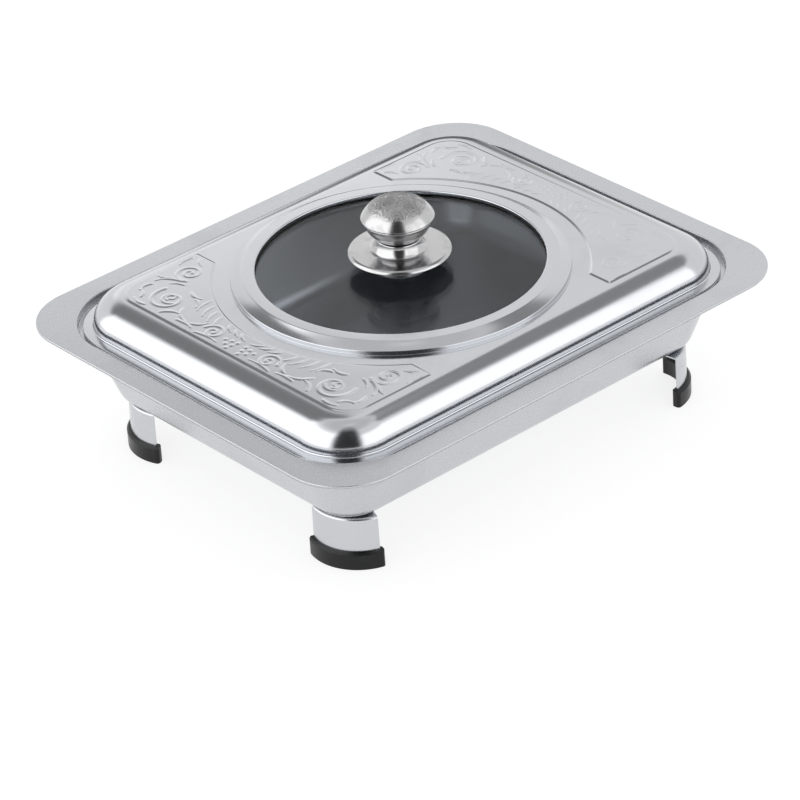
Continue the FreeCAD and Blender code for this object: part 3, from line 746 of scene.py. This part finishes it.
def make_lid():
    skin = Skin()
    brim = [(-SHEET, LIP_BOTTOM), (0, LIP_BOTTOM)]
    brim += bend((-EDGE_ROUND, BRIM_TOP - EDGE_ROUND), EDGE_ROUND, 0, 90, 4)
    wall = bend((FOOT_BEND, BRIM_TOP + FOOT_BEND), FOOT_BEND, -90, -180, 5)
    skin.stack(levels(BRIM, brim) + levels(LID_WALL, wall) + shoulder_outlines(0, 24))
    panelled_flat(skin, 0, LID_TOP, PANEL_GRID)
    fold, fold_end = RING_OPENING + SHEET, RING_TOP - RING_FOLD
    ring = ring_section(0) + bend((fold, RING_TOP - SHEET), SHEET, 90, 180, 5)
    ring += [(RING_OPENING, fold_end), (fold, fold_end), (fold, RING_TOP - SHEET)]
    ring += ring_section(SHEET)[::-1]
    skin.stack([circle_outline(radius, up) for radius, up in ring])
    panelled_flat(skin, -SHEET, LID_TOP - SHEET, 0)
    under = levels(LID_WALL, [(-SHEET, BRIM_TOP - SHEET)])
    under += levels(BRIM, [(-SHEET, BRIM_TOP - SHEET), (-SHEET, LIP_BOTTOM)])
    skin.stack(shoulder_outlines(SHEET, 12)[::-1] + under)
    return skin.make("lid_shell_skin")


lid = make_lid()

# %% [markdown]
# ## Scrollwork on the end panels
#
# Both ends of the lid carry a shallow pressed ornament of the traditional kind: volutes, leaves and a comb
# of curved strokes. It could be carved by hand or baked as a bump, but a bump disappears from the meshes.
# So the strokes are drawn as curves with a thickness at every point, and Geometry Nodes lift the fine grid
# of the panels along them. The design here is a plain one of its own, mirrored to both sides and both ends.

# %% Draw the strokes
def curl(centre, radius, turns, start, side, width):
    """Points (x, y, half width) of a volute that winds inwards and grows thinner, in millimetres."""
    points = []
    for share in spread(0, 1, 48):
        angle = math.radians(start) + side * 2 * math.pi * turns * share
        reach = radius * (1 - 0.86 * share ** 0.85)
        points.append((*polar(reach, angle, centre), width * (1 - 0.4 * share)))
    points.append((*points[-1][:2], width * 1.1))
    return points


def leaf(start, end, bow, width):
    """Points of a curved stroke, thick near its start and pointed at its end."""
    points = []
    start, end = Vector(start), Vector(end)
    along = end - start
    middle = (start + end) / 2 + Vector((-along.y, along.x)).normalized() * bow * 2
    for share in spread(0, 1, 16):
        point = start * (1 - share) ** 2 + middle * 2 * share * (1 - share) + end * share ** 2
        points.append((*point, width * (0.35 + 0.65 * math.sin(math.pi * min(1, share * 1.15 + 0.12)))))
    return points


def about_ring(radius, angle):
    return polar(radius, math.radians(angle))


def quarter_design():
    strokes = [
        curl((89.0, 88.5), 9.6, 1.7, -35, 1, 1.25), curl((117.0, 73.5), 13.4, 1.25, 118, -1, 1.45),
        curl((115.5, 74.0), 7.0, 1.15, -60, 1, 1.2), curl((124.3, 24.5), 7.8, 1.6, 95, 1, 1.2),
        leaf((98.5, 84.5), (108.5, 97.5), 2.6, 1.5), leaf((100.5, 80.0), (105.5, 88.0), 1.2, 1.0),
        leaf((99.5, 93.0), (103.5, 101.0), -1.4, 1.1), leaf((76.0, 102.5), (86.5, 101.5), 0.8, 1.1),
        leaf((74.0, 97.5), (78.5, 90.0), 1.0, 1.0), leaf((112.5, 95.5), (121.0, 95.0), 1.8, 1.3),
        leaf((126.5, 88.5), (121.5, 96.5), 1.6, 1.2), leaf((130.8, 80.0), (129.5, 91.0), -1.2, 1.2),
        leaf((103.2, 70.0), (104.2, 59.0), 1.6, 1.3), leaf((107.0, 61.5), (113.0, 54.0), -1.6, 1.2),
        leaf((130.3, 66.0), (124.0, 54.0), -2.2, 1.4), leaf((119.0, 58.5), (127.5, 45.5), 2.2, 1.4),
        leaf((129.5, 52.0), (130.0, 38.0), -1.0, 1.2), leaf((126.5, 41.5), (119.5, 34.5), 1.6, 1.2),
        leaf((131.5, 33.0), (130.5, 14.5), -1.2, 1.1),
    ]
    for angle in (27.5, 24.0, 20.5, 17.0):
        tip = about_ring(120.5 + angle * 0.18, angle - 3.6)
        strokes.append(leaf(about_ring(115.4, angle), tip, 1.0, 0.95))
    for angle in (11.5, 8.0, 4.8):
        strokes.append(leaf(about_ring(115.2, angle), about_ring(118.6, angle - 3.4), 0.8, 0.9))
    for x, y in ((124.5, 12.6), (127.6, 9.2), (123.4, 8.0), (126.6, 4.6), (122.6, 3.6), (130.4, 5.4)):
        strokes.append([(x, y, 1.35), (x + 0.3, y, 1.35)])
    return strokes


def stroke_curves(level):
    curve = bpy.data.curves.new("scroll_strokes", "CURVE")
    curve.dimensions = "3D"
    for points in quarter_design():
        for side_x, side_y in ((1, 1), (1, -1), (-1, 1), (-1, -1)):
            spline = curve.splines.new("POLY")
            spline.points.add(len(points) - 1)
            for spot, (x, y, width) in zip(spline.points, points):
                spot.co = (side_x * x * MM, side_y * y * MM, level, 1)
                spot.radius = 1.3 * width * MM
    print("strokes of the scrollwork:", len(curve.splines))
    return place_object("scroll_strokes", curve)


# %% Geometry tree: press strokes into a sheet
def make_press_tree():
    tree, given, result = new_tree("press_strokes", "GeometryNodeTree", [
        ("Sheet", GEOMETRY), ("Strokes", "NodeSocketObject"), ("Level", FLOAT), ("Rise", FLOAT),
        ("Spacing", FLOAT), ("Core", FLOAT), ("Material", MATERIAL)], [("Sheet", GEOMETRY)])
    curves = put(tree, "GeometryNodeObjectInfo", {"Object": given["Strokes"]}).outputs["Geometry"]
    points = put(tree, "GeometryNodeCurveToPoints", {"Curve": curves, "Length": given["Spacing"]},
                 mode="LENGTH").outputs["Points"]
    place = put(tree, "GeometryNodeInputPosition").outputs[0]
    nearest = put(tree, "GeometryNodeSampleNearest",
                  {"Geometry": points, "Sample Position": place}).outputs[0]

    def at_nearest(field, kind):
        values = {"Geometry": points, "Value": field, "Index": nearest}
        return put(tree, "GeometryNodeSampleIndex", values, data_type=kind).outputs[0]

    away = put(tree, "ShaderNodeVectorMath", {0: at_nearest(place, "FLOAT_VECTOR"), 1: place},
               operation="DISTANCE").outputs["Value"]
    width = at_nearest(put(tree, "GeometryNodeInputRadius").outputs[0], "FLOAT")
    lift = smooth(tree, away, width, calc(tree, "MULTIPLY", width, given["Core"]), 0.0, given["Rise"])
    on_panel = put(tree, "FunctionNodeCompare", {
        "A": split(tree, place)[2], "B": given["Level"], "Epsilon": 0.02 * MM},
        data_type="FLOAT", operation="EQUAL").outputs[0]
    offset = put(tree, "ShaderNodeCombineXYZ", {2: lift}).outputs[0]
    lifted = put(tree, "GeometryNodeSetPosition", {
        "Geometry": given["Sheet"], "Selection": on_panel, "Offset": offset}).outputs[0]
    return end_tree(tree, lifted, given["Material"], result)


STROKE_RISE = 0.14 * MM
panel_level = LID_TOP + PANEL_RISE
strokes = stroke_curves(panel_level)
run_tree(lid, make_press_tree(), {
    "Strokes": strokes, "Level": panel_level, "Rise": STROKE_RISE, "Spacing": 0.3 * MM, "Core": 0.1,
    "Material": bright_lid})
bpy.data.objects.remove(strokes)
heights = np.array([spot.co.z for spot in lid.data.vertices])
raised = (heights > panel_level + 0.04 * MM) & (heights < panel_level + STROKE_RISE + 0.05 * MM)
print("points lifted by the strokes:", int(raised.sum()), "of", len(heights))
even_normals(lid)

# %% [markdown]
# ## The knob
#
# The knob's pieces are spun on a lathe, so each is a section turned about the upright axis: a short drum, a
# disc that rises into a neck, a dark ring, a cup with a bead, and a domed cap. The section is a closed list
# of (radius, height) points. The heights and radii come from the boxes of the solids, and the small
# roundings that catch the light are added here.

# %% Turn a section about the axis
def turned(name, section, steps=160, smooth_normals=True):
    skin = Skin()
    rings = [skin.ring(circle_outline(radius, height, steps)) for radius, height in section]
    for i in range(len(section)):
        j = (i + 1) % len(section)
        if section[i][0] > 0 or section[j][0] > 0:
            skin.join(rings[i], rings[j])
    piece = skin.make(name)
    return even_normals(piece) if smooth_normals else piece


def arc_through(start, end, radius, side, steps):
    """Points after start on an arc to end; side is +1 when it turns left on the way."""
    start, end = Vector(start), Vector(end)
    chord = end - start
    reach = math.sqrt(max(radius * radius - chord.length_squared / 4, 0.0))
    left = Vector((-chord.y, chord.x)).normalized()
    centre = (start + end) / 2 + left * reach * side
    first = math.atan2(start.y - centre.y, start.x - centre.x)
    last = math.atan2(end.y - centre.y, end.x - centre.x)
    if side > 0 and last < first:
        last += 2 * math.pi
    if side < 0 and last > first:
        last -= 2 * math.pi
    return [polar(radius, a, centre) for a in spread(first, last, steps)[1:]]


# %% Drum, disc and neck
BORE = 3.0 * MM
low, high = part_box("knob_foot")
FOOT_RADIUS, FOOT_LOW, FOOT_HIGH = high.x, low.z, high.z
low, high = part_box("knob_skirt")
DISC_RADIUS, RIM_LOW, NECK_TOP = high.x, low.z, high.z
DISC_TOP = FOOT_HIGH + SHEET
RIM_DROP = DISC_TOP - RIM_LOW
NECK_FOOT, NECK_RADIUS, NECK_CURVE, NECK_ROUND = 17.0 * MM, 13.2 * MM, 9.0 * MM, 0.8 * MM
NECK_LIP = NECK_RADIUS + 0.2 * MM
RIM_ROUND = 0.2 * MM

drum = [(FOOT_RADIUS - SHEET, FOOT_LOW), (FOOT_RADIUS - RIM_ROUND, FOOT_LOW)]
drum += bend((FOOT_RADIUS - RIM_ROUND, FOOT_LOW + RIM_ROUND), RIM_ROUND, -60, 0, 3)
drum += [(FOOT_RADIUS, FOOT_HIGH), (BORE, FOOT_HIGH), (BORE, FOOT_HIGH - SHEET)]
drum += [(FOOT_RADIUS - SHEET, FOOT_HIGH - SHEET)]
knob_drum = turned("knob_foot_skin", drum)

rim_start = DISC_RADIUS - RIM_DROP
disc = [(DISC_RADIUS - SHEET, RIM_LOW + RIM_ROUND), (DISC_RADIUS - 0.6 * MM, RIM_LOW)]
disc += bend((DISC_RADIUS - RIM_ROUND, RIM_LOW + RIM_ROUND), RIM_ROUND, -90, 0, 3)
disc += arc_through((DISC_RADIUS, RIM_LOW + RIM_ROUND), (rim_start, DISC_TOP), 3.0 * MM, 1, 14)
disc += [(NECK_FOOT + 1.2 * MM, DISC_TOP)]
neck_edge = NECK_TOP - NECK_ROUND
disc += arc_through((NECK_FOOT, DISC_TOP + 0.05 * MM), (NECK_LIP, neck_edge), NECK_CURVE, -1, 14)
disc += bend((NECK_LIP - NECK_ROUND, neck_edge), NECK_ROUND, 15, 90, 6)
disc += [(BORE, NECK_TOP), (BORE, NECK_TOP - SHEET), (NECK_RADIUS - SHEET, NECK_TOP - SHEET)]
disc += [(NECK_FOOT - SHEET, FOOT_HIGH), (rim_start, FOOT_HIGH)]
knob_disc = turned("knob_skirt_skin", disc)

# %% Dark ring and cup
low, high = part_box("knob_gap_ring")
GAP_RADIUS, CUP_LOW = high.x, high.z
CUP_ROUND = 1.0 * MM
gap = [(BORE, NECK_TOP), (GAP_RADIUS, NECK_TOP), (GAP_RADIUS, CUP_LOW), (BORE, CUP_LOW)]
knob_gap = turned("knob_gap_ring_skin", gap)

low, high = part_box("knob_cup")
BEAD_RADIUS, BEAD_TOP = high.x, high.z
CUP_FOOT, BOWL_RADIUS, BOWL_CURVE = 14.7 * MM, 20.3 * MM, 16.0 * MM
BEAD_LOW = BEAD_TOP - 2.6 * MM
cup = [(BORE, CUP_LOW), (CUP_FOOT - 1.5 * MM, CUP_LOW)]
bowl_start = (CUP_FOOT + 0.1 * MM, CUP_LOW + CUP_ROUND)
bead_start = (BOWL_RADIUS + 0.15 * MM, BEAD_LOW + 0.45 * MM)
bead_end = (BEAD_RADIUS - 0.1 * MM, BEAD_TOP - 0.25 * MM)
cup += arc_through((CUP_FOOT - 1.5 * MM, CUP_LOW), bowl_start, 2.0 * MM, 1, 8)
cup += arc_through(bowl_start, (BOWL_RADIUS, BEAD_LOW), BOWL_CURVE, 1, 18)
cup += [(BOWL_RADIUS + 0.05 * MM, BEAD_LOW + 0.25 * MM)]
cup += arc_through(bead_start, bead_end, 1.25 * MM, 1, 9)
cup += [(BEAD_RADIUS - 0.4 * MM, BEAD_TOP), (BEAD_RADIUS - SHEET - 0.1 * MM, BEAD_TOP)]
cup += [(BOWL_RADIUS - SHEET, BEAD_LOW)]
cup += arc_through((BOWL_RADIUS - SHEET, BEAD_LOW), (CUP_FOOT - SHEET, CUP_LOW + SHEET),
                   BOWL_CURVE - SHEET, -1, 10)
cup += [(BORE, CUP_LOW + SHEET)]
knob_cup = turned("knob_cup_skin", cup)

# %% Domed cap with an engraved crown
low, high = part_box("knob_cap")
CAP_RADIUS, CAP_LOW, DOME_TOP = high.x, low.z, high.z
RIM_TOP, CAP_ROUND = CAP_LOW + 1.0 * MM, 0.3 * MM
DOME_CURVE = (CAP_RADIUS ** 2 + (DOME_TOP - RIM_TOP) ** 2) / (2 * (DOME_TOP - RIM_TOP))
rim_angle = math.degrees(math.asin(CAP_RADIUS / DOME_CURVE))


def dome_arc(radius, start, end, steps):
    """Points on the dome from one angle off the axis to another."""
    angles = [math.radians(a) for a in spread(start, end, steps)]
    centre = DOME_TOP - DOME_CURVE
    return [(max(0.0, radius * math.sin(a)), centre + radius * math.cos(a)) for a in angles]


cap = [(CAP_RADIUS - SHEET, CAP_LOW), (CAP_RADIUS - CAP_ROUND, CAP_LOW)]
cap += bend((CAP_RADIUS - CAP_ROUND, CAP_LOW + CAP_ROUND), CAP_ROUND, -60, 0, 3)
cap += bend((CAP_RADIUS - CAP_ROUND, RIM_TOP - CAP_ROUND), CAP_ROUND, 0, 70, 3)
cap += dome_arc(DOME_CURVE, rim_angle - 1.2, 0, 96)
cap += dome_arc(DOME_CURVE - SHEET, 0, rim_angle - 1.5, 20)
knob_cap = turned("knob_cap_skin", cap, 288, smooth_normals=False)

# %% Geometry tree: engrave the crown
def make_engrave_tree():
    """Sinks winding lines into the top of a dome: the places where two soft noises cross their middle."""
    tree, given, result = new_tree("engrave_crown", "GeometryNodeTree", [
        ("Dome", GEOMETRY), ("Radius", FLOAT), ("Fade", FLOAT), ("Floor", FLOAT), ("Scale", FLOAT),
        ("Depth", FLOAT), ("Material", MATERIAL)], [("Dome", GEOMETRY)])
    place = put(tree, "GeometryNodeInputPosition").outputs[0]
    fade_end = calc(tree, "SUBTRACT", given["Radius"], given["Fade"])
    inside = smooth(tree, off_axis(tree, place), given["Radius"], fade_end)
    lines = []
    for shift, share in (((0, 0, 0), 1.0), ((3.1, 1.7, 0.4), 1.45)):
        moved = vector(tree, "ADD", place, shift)
        waves = noise(tree, moved, calc(tree, "MULTIPLY", given["Scale"], share), 1.0, 0.9)
        ridge = calc(tree, "ABSOLUTE", calc(tree, "SUBTRACT", waves, 0.5))
        lines.append(smooth(tree, ridge, 0.045, 0.012))
    engraved = calc(tree, "MULTIPLY", calc(tree, "MAXIMUM", lines[0], lines[1]), inside)
    normal = put(tree, "GeometryNodeInputNormal").outputs[0]
    faces_up = above(tree, split(tree, normal)[2], 0.0)
    on_dome = above(tree, split(tree, place)[2], given["Floor"])
    chosen = put(tree, "FunctionNodeBooleanMath", {0: faces_up, 1: on_dome}, operation="AND").outputs[0]
    depth = calc(tree, "MULTIPLY", engraved, calc(tree, "MULTIPLY", given["Depth"], -1.0))
    offset = put(tree, "ShaderNodeVectorMath", {0: normal, 3: depth}, operation="SCALE").outputs[0]
    marked = put(tree, "GeometryNodeStoreNamedAttribute", {
        "Geometry": given["Dome"], "Name": "Engraved", "Value": engraved}, data_type="FLOAT").outputs[0]
    sunk = put(tree, "GeometryNodeSetPosition", {
        "Geometry": marked, "Selection": chosen, "Offset": offset}).outputs[0]
    return end_tree(tree, sunk, given["Material"], result)


before = np.array([spot.co.z for spot in knob_cap.data.vertices])
run_tree(knob_cap, make_engrave_tree(), {
    "Radius": CROWN_RADIUS, "Fade": 2.5 * MM, "Floor": RIM_TOP, "Scale": 210.0, "Depth": 0.16 * MM,
    "Material": knob_crown})
after = np.array([spot.co.z for spot in knob_cap.data.vertices])
print("deepest engraving in mm:", round(float((before - after).max()) / MM, 3))
even_normals(knob_cap)

# %% [markdown]
# ## Camera
#
# The photograph was taken with a long lens, from the front corner and well above the rim. The place and
# the three angles were solved from edges of known shape: the flange, the window and the foot caps.

# %% Set the camera
scene = bpy.context.scene
scene.view_settings.view_transform = "Standard"

CAMERA_PLACE = Vector((-1.3327, -1.5831, 1.2511))
CAMERA_AZIMUTH = math.radians(-39.93)
CAMERA_HEIGHT_ANGLE = math.radians(30.94)
CAMERA_ROLL = math.radians(-3.87)


def make_camera():
    level = math.cos(CAMERA_HEIGHT_ANGLE)
    back = Vector((math.sin(CAMERA_AZIMUTH) * level, -math.cos(CAMERA_AZIMUTH) * level,
                   math.sin(CAMERA_HEIGHT_ANGLE)))
    right = Vector((0, 0, 1)).cross(back).normalized()
    up = back.cross(right)
    turned_right = right * math.cos(CAMERA_ROLL) + up * math.sin(CAMERA_ROLL)
    turned_up = up * math.cos(CAMERA_ROLL) - right * math.sin(CAMERA_ROLL)
    camera = place_object("camera", bpy.data.cameras.new("camera"))
    camera.data.lens = 180.06
    camera.data.sensor_width = 36.0
    camera.data.clip_end = 50.0
    turn = Matrix((turned_right, turned_up, back)).transposed()
    camera.matrix_world = Matrix.Translation(CAMERA_PLACE) @ turn.to_4x4()
    scene.camera = camera


make_camera()

# %% [markdown]
# ## Light
#
# Polished steel shows its surroundings, so the studio is built for what the steel should mirror. The world
# gives the plain light. Curved cards stand about the dish as white walls and dark flags do in a studio.
# Each covers a range of directions and heights, with feathered edges, and is seen only in reflections, so
# none of them adds light to matt things.

# %% Curved cards
CARD_CENTRE = Vector((0, 0, 0.09))
CARD_STEP = 2.5
FLOOR_GAP = 0.002


def light_patch(name, azimuths, heights, distance, strength, feather):
    """Curved card between two directions and two heights in degrees, seen only in reflections."""
    low_a, high_a = azimuths
    low_h, high_h = heights
    columns = max(4, int((high_a - low_a) / CARD_STEP))
    rows = max(4, int((high_h - low_h) / CARD_STEP))
    points, cover = [], []
    for h in np.linspace(low_h, high_h, rows + 1):
        for a in np.linspace(low_a, high_a, columns + 1):
            level, up = polar(1.0, math.radians(h))
            out = Vector((*polar(level, math.radians(a)), up))
            reach = distance if up >= 0 else min(distance, (CARD_CENTRE.z - FLOOR_GAP) / -up)
            points.append(tuple(CARD_CENTRE + out * reach))
            from_side = min(a - low_a, high_a - a) / feather[0]
            from_end = min(h - low_h if low_h != 0 else 90, high_h - h) / feather[1]
            cover.append(min(1.0, from_side) * min(1.0, from_end))
    faces = []
    for i in range(rows):
        for j in range(columns):
            first = i * (columns + 1) + j
            faces.append((first, first + 1, first + columns + 2, first + columns + 1))
    mesh = bpy.data.meshes.new(name)
    mesh.from_pydata(points, [], faces)
    mesh.attributes.new("cover", "FLOAT", "POINT").data.foreach_set("value", cover)
    mesh.materials.append(card_glow(name, strength))
    card = place_object(name, mesh)
    card.visible_camera = card.visible_diffuse = False
    card.visible_shadow = card.visible_transmission = False
    card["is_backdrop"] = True


def empty_material(name):
    material = bpy.data.materials.new(name)
    material.use_nodes = True
    material.node_tree.nodes.clear()
    return material, material.node_tree


def card_glow(name, strength):
    material, tree = empty_material(name)
    glow = put(tree, "ShaderNodeEmission", {"Strength": strength}).outputs[0]
    clear = put(tree, "ShaderNodeBsdfTransparent").outputs[0]
    cover = put(tree, "ShaderNodeAttribute", attribute_name="cover").outputs["Fac"]
    mixed = put(tree, "ShaderNodeMixShader", {0: cover, 1: clear, 2: glow}).outputs[0]
    put(tree, "ShaderNodeOutputMaterial", {"Surface": mixed})
    return material


# %% Pale floor
FLOOR_HALF = 6.0
floor_mesh = bpy.data.meshes.new("floor")
corners = [(FLOOR_HALF * x, FLOOR_HALF * y, 0) for x, y in ((-1, -1), (1, -1), (1, 1), (-1, 1))]
floor_mesh.from_pydata(corners, [], [(0, 1, 2, 3)])
floor = place_object("floor", floor_mesh)
floor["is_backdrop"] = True


def seen_directly(tree):
    """1 for rays that show the background: from the camera, off metal, or through glass."""
    path = put(tree, "ShaderNodeLightPath").outputs
    seen_or_mirrored = calc(tree, "ADD", path["Is Camera Ray"], path["Is Glossy Ray"])
    total = calc(tree, "ADD", seen_or_mirrored, path["Is Transmission Ray"])
    total.node.use_clamp = True
    return total


def floor_material(grey=0.3, seen_level=0.80):
    """Grey to the light that falls on it, so that it keeps the shadow, and nearly white to look at."""
    material, tree = empty_material("pale_floor")
    matte = put(tree, "ShaderNodeBsdfDiffuse", {"Color": rgba((grey,) * 3)}).outputs[0]
    level = calc(tree, "MULTIPLY", seen_directly(tree), seen_level)
    glow = put(tree, "ShaderNodeEmission", {"Strength": level}).outputs[0]
    both = put(tree, "ShaderNodeAddShader", {0: matte, 1: glow}).outputs[0]
    put(tree, "ShaderNodeOutputMaterial", {"Surface": both})
    return material


floor.data.materials.append(floor_material())

# %% World
LIGHT_LEVEL, SEEN_LEVEL = 0.85, 1.0
world = bpy.data.worlds.new("studio")
scene.world = world
world.use_nodes = True
tree = world.node_tree
level = put(tree, "ShaderNodeMapRange", {
    "Value": seen_directly(tree), "To Min": LIGHT_LEVEL, "To Max": SEEN_LEVEL}).outputs[0]
background = tree.nodes["Background"]
background.inputs["Color"].default_value = (1, 1, 1, 1)
tree.links.new(level, background.inputs["Strength"])

# %% [markdown]
# ## Dressing the pieces
#
# Every solid of the frame gets the finish of its material slot. The skins stand in for the solids that they
# remake, ride on the same body, and take the same slot.

# %% Finishes, bodies and replaced solids
finishes = {
    "pan_steel": satin_pan, "lid_steel": bright_lid, "leg_steel": leg_strip, "knob_steel": knob_bright,
    "fitting_steel": plain_fitting, "window_glass": window_glass, "seal_rubber": seal_silicone,
    "cap_rubber": cap_rubber, "dark_resin": dark_resin, "insert_brass": turned_brass,
}
slots = {part["node"]: part["material_slot"] for part in frame["record"]["subparts"]}
for name, node in frame["nodes"].items():
    node.data.materials.clear()
    node.data.materials.append(finishes[slots[name]])

skins = {"outer_pan": pan, "lid_shell": lid, "knob_foot": knob_drum, "knob_skirt": knob_disc,
         "knob_gap_ring": knob_gap, "knob_cup": knob_cup, "knob_cap": knob_cap}
for node, piece in skins.items():
    if node != "knob_cap":
        piece.data.materials.clear()
        piece.data.materials.append(finishes[slots[node]])
    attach(piece, "pan" if node == "outer_pan" else "lid")
    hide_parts(node)
print("skins:", {piece.name: len(piece.data.polygons) for piece in skins.values()})

# %% Place the cards
# Name, directions and heights in degrees, distance in metres, strength, feathers in degrees
CARDS = (
    ("left_white_wall", (111, 226), (0, 60), 2.6, 1.9, (5, 8)),
    ("right_white_wall", (-110, -38), (0, 47), 2.7, 1.75, (5, 6)),
    ("dark_front", (-164, -104), (0, 88), 2.2, 0.02, (10, 26)),
    ("left_dark_band", (51, 109), (31, 62), 2.4, 0.27, (3, 4)),
    ("right_dark_band", (-40, 36), (39, 64), 2.4, 0.33, (6, 4)),
    ("high_card", (-180, 180), (62, 90), 3.0, 0.74, (1, 8)),
    ("far_low_glow", (46, 76), (14, 31), 2.3, 1.3, (5, 4)),
    ("far_low_dark", (34, 63), (-34, 18), 1.6, 0.16, (7, 5)),
)
for card in CARDS:
    light_patch(*card)

# %% Print both boxes and finish
boxes = {"cad": [list(corner) for corner in cad_box], "scene": [list(corner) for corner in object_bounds()]}
for name, corners in boxes.items():
    print(name, [[round(value / MM, 2) for value in corner] for corner in corners])
